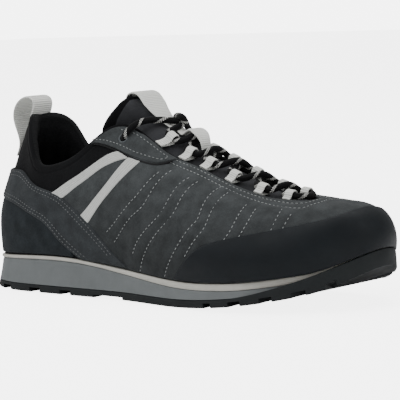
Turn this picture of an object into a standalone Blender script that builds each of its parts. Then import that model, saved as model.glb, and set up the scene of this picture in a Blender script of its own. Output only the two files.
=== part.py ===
"""A low approach shoe for the right foot, built as the maker's separate pieces.

Metres, +X towards the toe, +Y towards the medial (big toe) side, +Z up. The origin is on the
ground under the centre of the heel. Lengths in the tables are shares of the named sizes.
"""

import math
from typing import NamedTuple

import bmesh
import bpy
import numpy as np

MM = 0.001

# Driving sizes of the shoe
SOLE_LENGTH = 297 * MM
BALL_WIDTH = 104 * MM
COLLAR_HEIGHT = 104 * MM
SOLE_HEIGHT = 22 * MM
HEEL_CENTRE = 36 * MM

# Outsole, midsole and insole
OUTSOLE_THICKNESS = 4.8 * MM
TOE_SPRING = 18 * MM
TIP_KICK = 8 * MM
HEEL_KICK = 2.6 * MM
TREAD_BEVEL = 1.2 * MM
LIP_THICKNESS = 2 * MM
HEEL_FLARE = 4.6 * MM
TOE_FLARE = 2.4 * MM
LUG_DEPTH = 3 * MM
GROOVE_WIDTH = 4 * MM
INSOLE_THICKNESS = 4 * MM
INSOLE_BEVEL = 0.6 * MM
LEAST_STRIP = 1 * MM

# Shares of the sole's flare that its steps stand out, from the outsole's edge to the strip
EDGE_SHARE = 0.85
WAIST_SHARE = 0.35
NECK_SHARE = 0.6

# Upper, tongue and what is sewn on them
WALL = 2.4 * MM
COLLAR_PAD = 4.6 * MM
RIM_ROUND = 1.6 * MM
TONGUE_THICKNESS = 4.2 * MM
OVERLAY_THICKNESS = 1.2 * MM
RAND_THICKNESS = 1.6 * MM
WEBBING = 1.3 * MM
PULL_LOOP_WIDTH = 15 * MM
TONGUE_LOOP_WIDTH = 20 * MM
KEEPER_WIDTH = 13 * MM
LACE_LOOP_WIDTH = 6 * MM
LACE_LOOP_TAPE = 1 * MM
LACE_RADIUS = 2 * MM
EYELET_RADIUS = 2.6 * MM

# Clearances
SEAM = 0.3 * MM
OVERLAY_GAP = 0.65 * MM
TONGUE_GAP = 0.8 * MM
LACE_GAP = 0.5 * MM
STRIP_GAP = 2.2 * MM
MERGE = 0.02 * MM
SLIVER = 0.005 * MM

# Counts of facets
STEPS_PER_SECTION = 3
WALL_ROWS = 9
LINING_ROWS = 7
LACE_STEP = 6.4 * MM
EYELET_SIDES = 10
OVERLAY_EDGE = 0.6  # height of an overlay's edge, share of its thickness
SMOOTH_ANGLE = math.radians(40)


class Section(NamedTuple):
    """One section of the last, from the feather line over the wall to the top edge."""

    along: float  # feather line, share of SOLE_LENGTH from the back of the heel
    side: float  # feather line, share of BALL_WIDTH from the axis
    top_along: float  # top edge, share of SOLE_LENGTH
    top_side: float  # top edge, share of BALL_WIDTH
    top: float  # top edge, share of COLLAR_HEIGHT
    low_out: float  # swell of the low wall off the chord, share of BALL_WIDTH
    mid_up: float  # middle of the wall, share of the way up the chord
    mid_out: float
    high_up: float  # shoulder, share of the way up the chord
    high_out: float


LOW_UP = 0.28

HEEL_BACK = Section(0.026, 0.000, 0.091, 0.000, 1.048, 0.062, 0.52, 0.066, 0.80, 0.030)
TOE_TIP = Section(0.990, 0.070, 0.845, 0.020, 0.587, 0.130, 0.66, 0.245, 0.90, 0.208)

LATERAL = (
    Section(0.040, 0.190, 0.114, 0.135, 1.038, 0.058, 0.52, 0.050, 0.80, 0.018),
    Section(0.101, 0.298, 0.136, 0.212, 0.950, 0.034, 0.52, 0.020, 0.80, 0.000),
    Section(0.185, 0.327, 0.172, 0.276, 0.784, 0.030, 0.54, 0.022, 0.80, 0.008),
    Section(0.286, 0.337, 0.236, 0.288, 0.760, 0.026, 0.56, 0.014, 0.82, 0.006),
    Section(0.377, 0.346, 0.308, 0.276, 0.846, 0.032, 0.58, 0.026, 0.84, 0.012),
    Section(0.455, 0.365, 0.370, 0.202, 0.986, 0.050, 0.58, 0.050, 0.84, 0.030),
    Section(0.522, 0.404, 0.431, 0.168, 0.990, 0.066, 0.58, 0.070, 0.84, 0.042),
    Section(0.599, 0.447, 0.512, 0.163, 0.856, 0.080, 0.60, 0.086, 0.86, 0.055),
    Section(0.684, 0.471, 0.599, 0.154, 0.765, 0.095, 0.62, 0.118, 0.87, 0.085),
    Section(0.768, 0.462, 0.690, 0.139, 0.663, 0.110, 0.64, 0.148, 0.88, 0.105),
    Section(0.852, 0.394, 0.774, 0.115, 0.600, 0.115, 0.64, 0.180, 0.88, 0.140),
    Section(0.926, 0.260, 0.828, 0.062, 0.582, 0.108, 0.66, 0.205, 0.90, 0.180),
)

MEDIAL = (
    Section(0.040, 0.183, 0.116, 0.144, 1.045, 0.058, 0.52, 0.050, 0.80, 0.018),
    Section(0.101, 0.288, 0.139, 0.212, 0.975, 0.034, 0.52, 0.020, 0.80, 0.000),
    Section(0.185, 0.308, 0.172, 0.260, 0.798, 0.030, 0.54, 0.022, 0.80, 0.008),
    Section(0.286, 0.288, 0.236, 0.279, 0.779, 0.026, 0.56, 0.014, 0.82, 0.006),
    Section(0.377, 0.269, 0.311, 0.260, 0.865, 0.028, 0.58, 0.024, 0.84, 0.012),
    Section(0.455, 0.269, 0.374, 0.212, 0.990, 0.040, 0.58, 0.044, 0.84, 0.028),
    Section(0.529, 0.298, 0.434, 0.173, 0.990, 0.052, 0.58, 0.060, 0.84, 0.040),
    Section(0.613, 0.365, 0.515, 0.163, 0.856, 0.070, 0.60, 0.078, 0.86, 0.052),
    Section(0.707, 0.442, 0.603, 0.163, 0.765, 0.090, 0.62, 0.110, 0.87, 0.080),
    Section(0.801, 0.462, 0.694, 0.154, 0.663, 0.110, 0.64, 0.148, 0.88, 0.105),
    Section(0.892, 0.400, 0.778, 0.135, 0.600, 0.118, 0.64, 0.195, 0.88, 0.150),
    Section(0.958, 0.275, 0.828, 0.087, 0.582, 0.115, 0.66, 0.222, 0.90, 0.192),
)


class SoleRow(NamedTuple):
    """The sole's side at one place along it, as shares of SOLE_HEIGHT."""

    along: float  # share of SOLE_LENGTH
    wrap: float  # how far the outsole turns up round the midsole
    midsole: float  # top edge of the midsole above the tread
    feather: float  # top of the sole above the tread


SOLE_SIDE = (
    SoleRow(0.00, 0.04, 0.78, 0.90),
    SoleRow(0.06, 0.00, 0.84, 0.96),
    SoleRow(0.14, 0.00, 0.89, 1.02),
    SoleRow(0.24, 0.00, 0.91, 1.05),
    SoleRow(0.33, 0.00, 0.86, 1.00),
    SoleRow(0.42, 0.00, 0.72, 0.88),
    SoleRow(0.52, 0.00, 0.60, 0.77),
    SoleRow(0.64, 0.00, 0.50, 0.68),
    SoleRow(0.76, 0.01, 0.42, 0.61),
    SoleRow(0.86, 0.14, 0.36, 0.55),
    SoleRow(0.94, 0.26, 0.32, 0.50),
    SoleRow(1.00, 0.24, 0.30, 0.47),
)
SPRING_START = 0.58
TIP_START = 0.89
HEEL_KICK_END = 0.055


class Notch(NamedTuple):
    """A pair of notches between the lugs at the edges of the tread."""

    along: float  # middle, share of SOLE_LENGTH
    width: float  # share of SOLE_LENGTH
    reach: float  # how far in it is cut, share of the half width
    depth: float  # share of LUG_DEPTH
    slant: float  # turn in plan, radians


NOTCHES = (
    Notch(0.094, 0.032, 0.62, 1.0, 0.12),
    Notch(0.190, 0.032, 0.62, 1.0, 0.12),
    Notch(0.282, 0.031, 0.60, 1.0, 0.12),
    Notch(0.404, 0.086, 0.40, 0.6, 0.00),
    Notch(0.697, 0.018, 0.58, 1.0, -0.12),
    Notch(0.761, 0.027, 0.60, 1.0, -0.16),
    Notch(0.826, 0.026, 0.62, 1.0, -0.20),
    Notch(0.886, 0.027, 0.62, 1.0, -0.26),
    Notch(0.938, 0.020, 0.60, 0.9, -0.34),
)
GROOVES = (0.155, 0.240, 0.330, 0.482, 0.600, 0.655, 0.730, 0.795, 0.857, 0.912)
GROOVE_REACH = 0.34


class Edge(NamedTuple):
    """Lower and upper edge of an overlay, by turn round the last and rise up its wall."""

    low_turn: float
    low_rise: float
    high_turn: float
    high_rise: float


HEEL_COUNTER = (
    Edge(0.00, 0.012, 0.00, 0.395),
    Edge(1.50, 0.012, 1.58, 0.385),
    Edge(2.60, 0.012, 2.62, 0.393),
    Edge(3.30, 0.012, 3.34, 0.335),
    Edge(3.72, 0.012, 3.74, 0.170),
    Edge(4.15, 0.012, 4.05, 0.055),
)
HEEL_BAND = (
    Edge(0.00, 0.420, 0.00, 0.590),
    Edge(1.58, 0.410, 1.34, 0.610),
    Edge(2.62, 0.418, 2.86, 0.715),
    Edge(3.40, 0.360, 3.78, 0.665),
    Edge(3.83, 0.190, 4.40, 0.520),
    Edge(4.14, 0.080, 5.05, 0.315),
    Edge(4.32, 0.035, 5.71, 0.105),
    Edge(4.48, 0.012, 6.20, 0.020),
)
STRAP_REAR = (
    Edge(4.32, 0.568, 3.98, 0.680),
    Edge(5.25, 0.600, 4.93, 0.730),
    Edge(6.05, 0.622, 5.80, 0.712),
    Edge(6.70, 0.668, 6.30, 0.722),
)
STRAP_FRONT = (
    Edge(5.10, 0.345, 4.92, 0.410),
    Edge(5.70, 0.425, 5.50, 0.508),
    Edge(6.51, 0.520, 6.20, 0.572),
    Edge(7.28, 0.672, 6.92, 0.650),
)
EYESTAY = (
    Edge(5.52, 0.950, 5.40, 0.975),
    Edge(6.10, 0.785, 5.90, 0.975),
    Edge(6.90, 0.718, 6.70, 0.975),
    Edge(7.41, 0.730, 7.30, 0.975),
    Edge(7.93, 0.795, 7.90, 0.975),
    Edge(8.28, 0.925, 8.42, 0.975),
)
TOE_RAND = (
    Edge(8.17, 0.012, 8.22, 0.030),
    Edge(8.79, 0.012, 8.79, 0.175),
    Edge(9.36, 0.012, 9.36, 0.295),
    Edge(9.98, 0.012, 9.98, 0.375),
    Edge(10.6, 0.012, 10.6, 0.445),
    Edge(11.5, 0.012, 11.5, 0.530),
    Edge(12.4, 0.012, 12.4, 0.590),
    Edge(13.0, 0.012, 13.0, 0.660),
)


class ThroatRow(NamedTuple):
    """The tongue under the throat: its edges follow the upper's lining at this turn."""

    turn: float
    overlap: float  # lowest rise that the tongue reaches under the eyestay
    along: float  # top of the crown, share of SOLE_LENGTH
    up: float  # top of the crown, share of COLLAR_HEIGHT


THROAT = (
    ThroatRow(12.5, 0.90, 0.8420, 0.564),
    ThroatRow(12.0, 0.88, 0.8300, 0.580),
    ThroatRow(11.0, 0.84, 0.7780, 0.600),
    ThroatRow(10.0, 0.80, 0.6950, 0.672),
    ThroatRow(9.20, 0.80, 0.6260, 0.756),
    ThroatRow(8.60, 0.80, 0.5780, 0.816),
    ThroatRow(8.00, 0.80, 0.5350, 0.890),
    ThroatRow(7.50, 0.82, 0.5090, 0.945),
    ThroatRow(7.00, 0.84, 0.4820, 0.990),
    ThroatRow(6.50, 0.88, 0.4560, 1.030),
)


class TongueRow(NamedTuple):
    """The free top of the tongue: its edges and the top of its crown."""

    edge_along: float  # share of SOLE_LENGTH
    edge_side: float  # share of BALL_WIDTH
    edge_up: float  # share of COLLAR_HEIGHT
    along: float
    up: float


TONGUE_TOP = (
    TongueRow(0.340, 0.148, 0.935, 0.4490, 1.040),
    TongueRow(0.350, 0.160, 1.010, 0.4410, 1.066),
    TongueRow(0.376, 0.166, 1.078, 0.4300, 1.106),
    TongueRow(0.394, 0.142, 1.134, 0.4170, 1.144),
    TongueRow(0.402, 0.098, 1.160, 0.4060, 1.168),
)


class Fold(NamedTuple):
    """A point of a webbing strip's middle line in the plane of symmetry."""

    along: float  # share of SOLE_LENGTH
    up: float  # share of COLLAR_HEIGHT


PULL_LOOP = (
    Fold(0.0560, 0.955),
    Fold(0.0490, 1.010),
    Fold(0.0480, 1.065),
    Fold(0.0570, 1.120),
    Fold(0.0750, 1.158),
    Fold(0.0950, 1.166),
    Fold(0.1090, 1.138),
    Fold(0.1080, 1.085),
)
PULL_LOOP_SEAM = (0.66, 0.74)


class KeeperRow(NamedTuple):
    """The keeper, the strip that runs on below the tongue loop and arches over the lace."""

    turn: float
    lift: float  # middle line above the tongue, in lace diameters over its own seat
    width: float  # share of KEEPER_WIDTH


KEEPER = (
    KeeperRow(8.60, 0.00, 0.54),
    KeeperRow(8.52, 0.20, 0.54),
    KeeperRow(8.45, 1.10, 0.54),
    KeeperRow(8.38, 2.00, 0.56),
    KeeperRow(8.28, 2.50, 0.72),
    KeeperRow(8.09, 2.76, 1.00),
    KeeperRow(7.91, 2.50, 0.72),
    KeeperRow(7.81, 2.00, 0.56),
    KeeperRow(7.72, 0.90, 0.52),
    KeeperRow(7.62, 0.05, 0.52),
    KeeperRow(7.46, 0.00, 0.52),
    KeeperRow(7.30, 0.00, 0.60),
)
TONGUE_LOOP = (
    Fold(0.4840, 0.997),
    Fold(0.4630, 1.046),
    Fold(0.4430, 1.104),
    Fold(0.4260, 1.164),
    Fold(0.4150, 1.188),
    Fold(0.4040, 1.195),
    Fold(0.3930, 1.186),
    Fold(0.3870, 1.160),
    Fold(0.3880, 1.130),
)
LACE_LOOP_TURNS = (7.73, 8.45, 9.06, 9.74, 10.52, 11.40)
LOOP_REACH = 0.52
EYELET = (6.70, 0.845)


def spline(knots, values, period=None):
    """A cubic spline through values at knots: natural ends, or closed with a period."""
    knots = np.asarray(knots, float)
    values = np.asarray(values, float)
    if period is not None:
        knots = np.append(knots, knots[0] + period)
        values = np.vstack([values, values[:1]])
    steps = np.diff(knots)[:, None]
    slopes = np.diff(values, axis=0) / steps
    count = len(knots)
    system = np.eye(count)
    right = np.zeros_like(values)
    for i in range(1, count - 1):
        before, after = steps[i - 1, 0], steps[i, 0]
        system[i, i - 1 : i + 2] = before, 2 * (before + after), after
        right[i] = 6 * (slopes[i] - slopes[i - 1])
    if period is not None:
        system[0, :] = 0
        before, after = steps[-1, 0], steps[0, 0]
        system[0, [0, 1, count - 2]] = 2 * (before + after), after, before
        right[0] = 6 * (slopes[0] - slopes[-1])
        system[-1, 0] = -1
    bends = np.linalg.solve(system, right)

    def read(at):
        at = np.atleast_1d(np.asarray(at, float))
        if period is not None:
            at = knots[0] + np.mod(at - knots[0], period)
        i = np.clip(np.searchsorted(knots, at, side="right") - 1, 0, count - 2)
        h = steps[i]
        a = (knots[i + 1] - at)[:, None] / h
        b = 1 - a
        cubic = ((a**3 - a) * bends[i] + (b**3 - b) * bends[i + 1]) * h**2 / 6
        return a * values[i] + b * values[i + 1] + cubic

    return read


def smoothstep(low, high, at):
    t = np.clip((np.asarray(at, float) - low) / (high - low), 0, 1)
    return t * t * (3 - 2 * t)


# The last is read by turn: 0 at the heel, TOE at the toe, lateral in between, medial past TOE
LAST_ROWS = np.array(
    [HEEL_BACK]
    + [s._replace(side=-s.side, top_side=-s.top_side) for s in LATERAL]
    + [TOE_TIP]
    + list(reversed(MEDIAL))
)
TOE = len(LATERAL) + 1
ROUND = len(LAST_ROWS)


def last_spline():
    """The closed spline round the last, and the girth at which each section stands."""
    feet = LAST_ROWS[:, :2] * (SOLE_LENGTH, BALL_WIDTH)
    gaps = np.hypot(*(np.roll(feet, -1, axis=0) - feet).T)
    girth = np.append(0, np.cumsum(gaps))
    return spline(girth[:-1], LAST_ROWS, period=girth[-1]), girth


LAST, GIRTH = last_spline()
SIDE = spline([r.along for r in SOLE_SIDE], [r[1:] for r in SOLE_SIDE])
PROFILE = spline([0, 0.25, 0.5, 0.75, 1], np.eye(5))


def girth_at(turn):
    turn = np.asarray(turn, float)
    laps = np.floor(turn / ROUND)
    return np.interp(turn - laps * ROUND, np.arange(ROUND + 1), GIRTH) + laps * GIRTH[-1]


def tread_height(x):
    """Height of the tread at x from the back of the heel."""
    share = np.clip(x / SOLE_LENGTH, 0, 1)
    spring = TOE_SPRING * (np.clip(share - SPRING_START, 0, None) / (1 - SPRING_START)) ** 2
    tip = TIP_KICK * (np.clip(share - TIP_START, 0, None) / (1 - TIP_START)) ** 2
    heel = HEEL_KICK * (np.clip(HEEL_KICK_END - share, 0, None) / HEEL_KICK_END) ** 2
    return spring + tip + heel


def sole_heights(x):
    """Heights above the ground at x: tread, seat, outsole edge, midsole edge, feather line."""
    edge = np.clip(SIDE(np.clip(x / SOLE_LENGTH, 0, 1)), 0, None) * SOLE_HEIGHT
    tread = tread_height(x)
    seat = tread + OUTSOLE_THICKNESS
    return tread, seat, seat + edge[:, 0], tread + edge[:, 1], tread + edge[:, 2]


def plan_normals(turns):
    """Outward directions in plan at the feather line."""
    step = 0.002 * GIRTH[-1]
    at = girth_at(turns)
    ahead = (LAST(at + step) - LAST(at - step))[:, :2] * (SOLE_LENGTH, BALL_WIDTH)
    outward = np.column_stack([ahead[:, 1], -ahead[:, 0]])
    return outward / np.linalg.norm(outward, axis=1, keepdims=True)


def outline(turns, spread):
    """The feather line in plan, moved outwards by spread."""
    foot = LAST(girth_at(turns))[:, :2] * (SOLE_LENGTH, BALL_WIDTH)
    return foot + plan_normals(turns) * np.reshape(spread, (-1, 1))


def outer_face(turns, rises):
    """Outer face of the upper at pairs of turn and rise, 0 at the feather line, 1 at the top."""
    turns, rises = np.broadcast_arrays(np.asarray(turns, float), np.asarray(rises, float))
    shape = turns.shape
    turns, rises = turns.ravel(), rises.ravel()
    s = LAST(girth_at(turns))
    foot = s[:, :2] * (SOLE_LENGTH, BALL_WIDTH)
    top = s[:, 2:4] * (SOLE_LENGTH, BALL_WIDTH)
    foot_z = sole_heights(foot[:, 0])[4] + SEAM
    top_z = s[:, 4] * COLLAR_HEIGHT
    zero = np.zeros(len(s))
    up = np.column_stack([zero, zero + LOW_UP, s[:, 6], s[:, 8], zero + 1])
    out = np.column_stack([zero, s[:, 5], s[:, 7], s[:, 9], zero]) * BALL_WIDTH
    weights = PROFILE(rises)
    up = np.sum(weights * up, axis=1)[:, None]
    out = np.sum(weights * out, axis=1)[:, None]
    plan = foot + (top - foot) * up + plan_normals(turns) * out
    height = foot_z + (top_z - foot_z) * up[:, 0]
    return np.column_stack([plan, height]).reshape(*shape, 3)


FACE_STEP = 0.02


def outer_normals(turns, rises):
    """Outward normals of the upper's outer face."""
    turns, rises = np.broadcast_arrays(np.asarray(turns, float), np.asarray(rises, float))
    step = FACE_STEP
    along = outer_face(turns + step, rises) - outer_face(turns - step, rises)
    low, high = np.clip(rises - step, 0, 1), np.clip(rises + step, 0, 1)
    up = outer_face(turns, high) - outer_face(turns, low)
    normals = np.cross(along, up)
    return normals / np.linalg.norm(normals, axis=-1, keepdims=True)


def wall_thickness(turns, rises):
    """Wall of the upper: plain in front, padded round the collar."""
    turns, rises = np.broadcast_arrays(np.asarray(turns, float), np.asarray(rises, float))
    turn = np.mod(turns, ROUND)
    turn = np.minimum(turn, ROUND - turn)
    round_heel = 1 - smoothstep(5.4, 7.0, turn)
    high = smoothstep(0.45, 0.8, rises) * (1 - 0.3 * smoothstep(0.88, 1.0, rises))
    return WALL + COLLAR_PAD * round_heel * high


def inner_face(turns, rises, gap=0.0):
    """Inner face of the upper's wall, or a face a gap further in."""
    inward = wall_thickness(turns, rises) + gap
    return outer_face(turns, rises) - outer_normals(turns, rises) * inward[..., None]


def finish(name, colour, roughness, metallic=0.0):
    """A plain Principled material."""
    material = bpy.data.materials.new(name)
    material.use_nodes = True
    shader = material.node_tree.nodes["Principled BSDF"]
    shader.inputs["Base Color"].default_value = (*colour, 1)
    shader.inputs["Roughness"].default_value = roughness
    shader.inputs["Metallic"].default_value = metallic
    return material


def add_object(name, points, faces, material):
    """A closed body from points measured from the back of the heel."""
    mesh = bpy.data.meshes.new(name)
    moved = np.asarray(points, float) - (HEEL_CENTRE, 0, 0)
    mesh.from_pydata([tuple(p) for p in moved], [], faces)
    body = bmesh.new()
    body.from_mesh(mesh)
    bmesh.ops.remove_doubles(body, verts=body.verts, dist=MERGE)
    bmesh.ops.dissolve_degenerate(body, edges=body.edges, dist=SLIVER)
    bmesh.ops.recalc_face_normals(body, faces=body.faces)
    body.to_mesh(mesh)
    body.free()
    mesh.shade_smooth()
    mesh.set_sharp_from_angle(angle=SMOOTH_ANGLE)
    made = bpy.data.objects.new(name, mesh)
    made.data.materials.append(material)
    bpy.context.scene.collection.objects.link(made)
    return made


def ring_faces(rings, count):
    """Quads between closed rings of count points each."""
    faces = []
    for r in range(rings - 1):
        for i in range(count):
            j = (i + 1) % count
            faces.append((r * count + i, r * count + j, (r + 1) * count + j, (r + 1) * count + i))
    return faces


def cap_faces(start, count):
    """A cap across a ring that starts at the heel and whose sides mirror each other."""
    faces = [(start, start + 1, start + count - 1)]
    for i in range(1, count // 2 - 1):
        faces.append((start + i, start + i + 1, start + count - i - 1, start + count - i))
    half = count // 2
    faces.append((start + half - 1, start + half, start + half + 1))
    return faces


def stack(name, material, rings):
    """A closed body from stacked rings of (plan outline, heights), capped at both ends."""
    count = len(rings[0][0])
    points = [np.column_stack([plan, height]) for plan, height in rings]
    faces = ring_faces(len(rings), count)
    faces += cap_faces(0, count)
    faces += cap_faces((len(rings) - 1) * count, count)
    return add_object(name, np.vstack(points), faces, material)


def grid_slab(name, material, outer, inner):
    """A closed slab between two grids of the same shape."""
    rows, columns = outer.shape[:2]
    points = np.vstack([outer.reshape(-1, 3), inner.reshape(-1, 3)])
    under = rows * columns
    faces = []
    for r in range(rows - 1):
        for c in range(columns - 1):
            a = r * columns + c
            quad = (a, a + 1, a + columns + 1, a + columns)
            faces.append(quad)
            faces.append(tuple(under + i for i in reversed(quad)))
    border = list(range(columns))
    border += [r * columns + columns - 1 for r in range(1, rows)]
    border += [(rows - 1) * columns + c for c in range(columns - 2, -1, -1)]
    border += [r * columns for r in range(rows - 2, 0, -1)]
    for a, b in zip(border, border[1:] + border[:1]):
        faces.append((b, a, under + a, under + b))
    return add_object(name, points, faces, material)


def box_points(centre, size, turn=0.0, slope=0.0):
    """Corners of a box of (length, width, height), turned in plan, that rises by the slope."""
    length, width, height = np.asarray(size) / 2
    corners = []
    for z in (-height, height):
        for x, y in ((-length, -width), (length, -width), (length, width), (-length, width)):
            across = x * math.cos(turn) - y * math.sin(turn)
            forward = x * math.sin(turn) + y * math.cos(turn)
            corners.append(np.asarray(centre) + (across, forward, z + slope * across))
    return corners


BOX_FACES = ((0, 3, 2, 1), (4, 5, 6, 7), (0, 1, 5, 4), (1, 2, 6, 5), (2, 3, 7, 6), (3, 0, 4, 7))


def cutter(name, boxes, material):
    """A hidden cutter made of boxes that don't touch each other."""
    points = [p for box in boxes for p in box]
    faces = []
    for i in range(len(boxes)):
        faces += [tuple(8 * i + v for v in face) for face in BOX_FACES]
    made = add_object(name, points, faces, material)
    made.hide_render = True
    made.display_type = "WIRE"
    return made


def cut(target, tool):
    change = target.modifiers.new("cut_" + tool.name, "BOOLEAN")
    change.operation = "DIFFERENCE"
    change.object = tool
    change.solver = "EXACT"


def ring_turns():
    return np.arange(ROUND * STEPS_PER_SECTION) / STEPS_PER_SECTION


def flare(turns):
    """How far the foot of the sole stands out beyond the feather line."""
    share = LAST(girth_at(turns))[:, 0]
    return TOE_FLARE + (HEEL_FLARE - TOE_FLARE) * (1 - smoothstep(0.2, 0.7, share))


def half_widths(x):
    """Lateral and medial edge of the tread at x from the back of the heel."""
    turns = np.linspace(0, TOE, 200)
    lateral = outline(turns, flare(turns))
    medial = outline(-turns, flare(-turns))
    return np.interp(x, *lateral.T), np.interp(x, *medial.T)


def build_sole(finishes):
    turns = ring_turns()
    spread = flare(turns)
    foot = outline(turns, 0)
    tread, seat, outsole_top, midsole_top, feather = sole_heights(foot[:, 0])
    wrap = outsole_top - seat
    lip = LIP_THICKNESS * smoothstep(0, 2 * MM, wrap)
    inside = spread * EDGE_SHARE - lip
    clear = inside - SEAM * smoothstep(0, 0.5 * MM, wrap)
    outsole = stack(
        "outsole",
        finishes["outsole"],
        [
            (outline(turns, spread - TREAD_BEVEL), tread),
            (outline(turns, spread), tread + TREAD_BEVEL),
            (outline(turns, spread * EDGE_SHARE), outsole_top),
            (outline(turns, inside), outsole_top),
            (outline(turns, inside), seat),
        ],
    )
    cut_tread(outsole, finishes["outsole"])
    midsole_top = np.maximum(midsole_top, seat + LEAST_STRIP)
    narrow = clear - spread * NECK_SHARE
    stack(
        "midsole",
        finishes["midsole"],
        [
            (outline(turns, clear), seat + SEAM),
            (outline(turns, clear - spread * WAIST_SHARE), (seat + midsole_top) / 2),
            (outline(turns, narrow), midsole_top),
        ],
    )
    stack(
        "welt_strip",
        finishes["strip"],
        [
            (outline(turns, narrow + SEAM), midsole_top + SEAM),
            (outline(turns, narrow), np.maximum(feather, midsole_top + LEAST_STRIP)),
        ],
    )
    inset = -(WALL + 2 * SEAM)
    floor = np.maximum(feather, midsole_top + LEAST_STRIP) + SEAM
    stack(
        "insole",
        finishes["insole"],
        [
            (outline(turns, inset - INSOLE_BEVEL), floor),
            (outline(turns, inset), floor + INSOLE_THICKNESS / 2),
            (outline(turns, inset - 2 * INSOLE_BEVEL), floor + INSOLE_THICKNESS),
        ],
    )


def tread_slope(x, length):
    """Height of the tread at x and its slope over a length there."""
    back, z, front = tread_height(x + np.array([-0.5, 0, 0.5]) * length)
    return z, (front - back) / length


def cut_tread(outsole, material):
    """Side notches between the lugs and the cross grooves of the middle."""
    notches = []
    for notch in NOTCHES:
        x = notch.along * SOLE_LENGTH
        z, slope = tread_slope(x, notch.width * SOLE_LENGTH)
        for edge, sign in zip(half_widths(x), (1, -1)):
            reach = abs(edge) * notch.reach
            centre = (x, edge + sign * (reach / 2 - LUG_DEPTH), z)
            size = (notch.width * SOLE_LENGTH, reach, 2 * notch.depth * LUG_DEPTH)
            notches.append(box_points(centre, size, -sign * notch.slant, slope))
    grooves = []
    for along in GROOVES:
        x = along * SOLE_LENGTH
        z, slope = tread_slope(x, GROOVE_WIDTH)
        middle = sum(half_widths(x)) / 2
        size = (GROOVE_WIDTH, GROOVE_REACH * BALL_WIDTH, 1.6 * LUG_DEPTH)
        grooves.append(box_points((x, middle, z), size, slope=slope))
    cut(outsole, cutter("notch_cutter", notches, material))
    cut(outsole, cutter("groove_cutter", grooves, material))


def build_upper(finishes):
    turns = ring_turns()
    outer_rises = np.linspace(0, 1, WALL_ROWS)
    inner_rises = np.linspace(1, 0, LINING_ROWS)
    outer = outer_face(turns[:, None], outer_rises[None, :])
    inner = inner_face(turns[:, None], inner_rises[None, :])
    inner[:, -1, 2] = outer[:, 0, 2]
    rim = (outer[:, -1] + inner[:, 0]) / 2
    rim[:, 2] += RIM_ROUND * wall_thickness(turns, np.ones(len(turns))) / (WALL + COLLAR_PAD)
    rings = [outer[:, r] for r in range(WALL_ROWS)] + [rim] + [inner[:, r] for r in range(LINING_ROWS)]
    count = len(turns)
    faces = ring_faces(len(rings), count)
    last = (len(rings) - 1) * count
    for i in range(count):
        j = (i + 1) % count
        faces.append((last + i, last + j, j, i))
    return add_object("upper", np.vstack(rings), faces, finishes["suede"])


def overlay(name, material, edges, steps, columns, thickness, side=-1, whole=False):
    """An overlay that follows the upper's outer face between its lower and upper edges."""
    rows = np.array(edges)
    if whole:
        centre = rows[0, 0] if rows[0, 0] == 0 else rows[-1, 0]
        mirrored = rows * (-1, 1, -1, 1) + (2 * centre, 0, 2 * centre, 0)
        rows = np.vstack([mirrored[:0:-1], rows]) if centre == 0 else np.vstack([rows, mirrored[-2::-1]])
    knots = np.arange(len(rows))
    read = spline(knots, rows)(np.linspace(0, len(rows) - 1, steps + 1))
    across = np.linspace(0, 1, columns + 1)
    turns = read[:, None, 0] + (read[:, None, 2] - read[:, None, 0]) * across
    rises = np.clip(read[:, None, 1] + (read[:, None, 3] - read[:, None, 1]) * across, 0.01, 0.98)
    turns = turns if side < 0 else -turns
    face = outer_face(turns, rises)
    normals = outer_normals(turns, rises)
    height = np.full(turns.shape, thickness)
    height[[0, -1], :] *= OVERLAY_EDGE
    height[:, [0, -1]] *= OVERLAY_EDGE
    outer = face + normals * (OVERLAY_GAP + height)[..., None]
    inner = face + normals * OVERLAY_GAP
    return grid_slab(name, material, outer, inner)


def build_overlays(finishes):
    suede = finishes["panel"]
    overlay("heel_counter", finishes["counter"], HEEL_COUNTER, 30, 5, OVERLAY_THICKNESS, whole=True)
    overlay("heel_band", finishes["band"], HEEL_BAND, 42, 4, OVERLAY_THICKNESS, whole=True)
    overlay("toe_rand", finishes["rand"], TOE_RAND, 34, 5, RAND_THICKNESS, whole=True)
    for label, side in (("lateral", -1), ("medial", 1)):
        overlay("strap_rear_" + label, finishes["pale"], STRAP_REAR, 7, 1, WEBBING, side)
        overlay("strap_front_" + label, finishes["pale"], STRAP_FRONT, 7, 1, WEBBING, side)
        panel = overlay("eyestay_" + label, suede, EYESTAY, 12, 4, OVERLAY_THICKNESS, side)
        cut(panel, bpy.data.objects["eyelet_cutter_" + label])


def tongue_sections():
    """Rows of points across the tongue's outer face, from the front of the throat to its top."""
    rows = []
    middle = np.array([-1, -0.5, 0, 0.5, 1])
    for row in THROAT:
        lateral, medial = inner_face([row.turn, -row.turn], [1, 1], TONGUE_GAP)
        mid, half = (lateral + medial) / 2, (medial - lateral) / 2
        crown = np.array([row.along * SOLE_LENGTH, mid[1], row.up * COLLAR_HEIGHT]) - mid
        arch = mid + half * middle[:, None] + crown * (1 - middle[:, None] ** 2)
        under = np.linspace(row.overlap, 1, 3)[:-1]
        left = inner_face(np.full(2, row.turn), under, TONGUE_GAP)
        right = inner_face(np.full(2, -row.turn), under[::-1], TONGUE_GAP)
        rows.append(np.vstack([left, arch, right]))
    spread = np.linspace(-1, 1, 9)[:, None]
    for row in TONGUE_TOP:
        edge = np.array([row.edge_along * SOLE_LENGTH, 0, row.edge_up * COLLAR_HEIGHT])
        half = np.array([0, row.edge_side * BALL_WIDTH, 0])
        crown = np.array([row.along * SOLE_LENGTH, 0, row.up * COLLAR_HEIGHT]) - edge
        rows.append(edge + half * spread + crown * (1 - spread**2))
    return np.array(rows)


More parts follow.
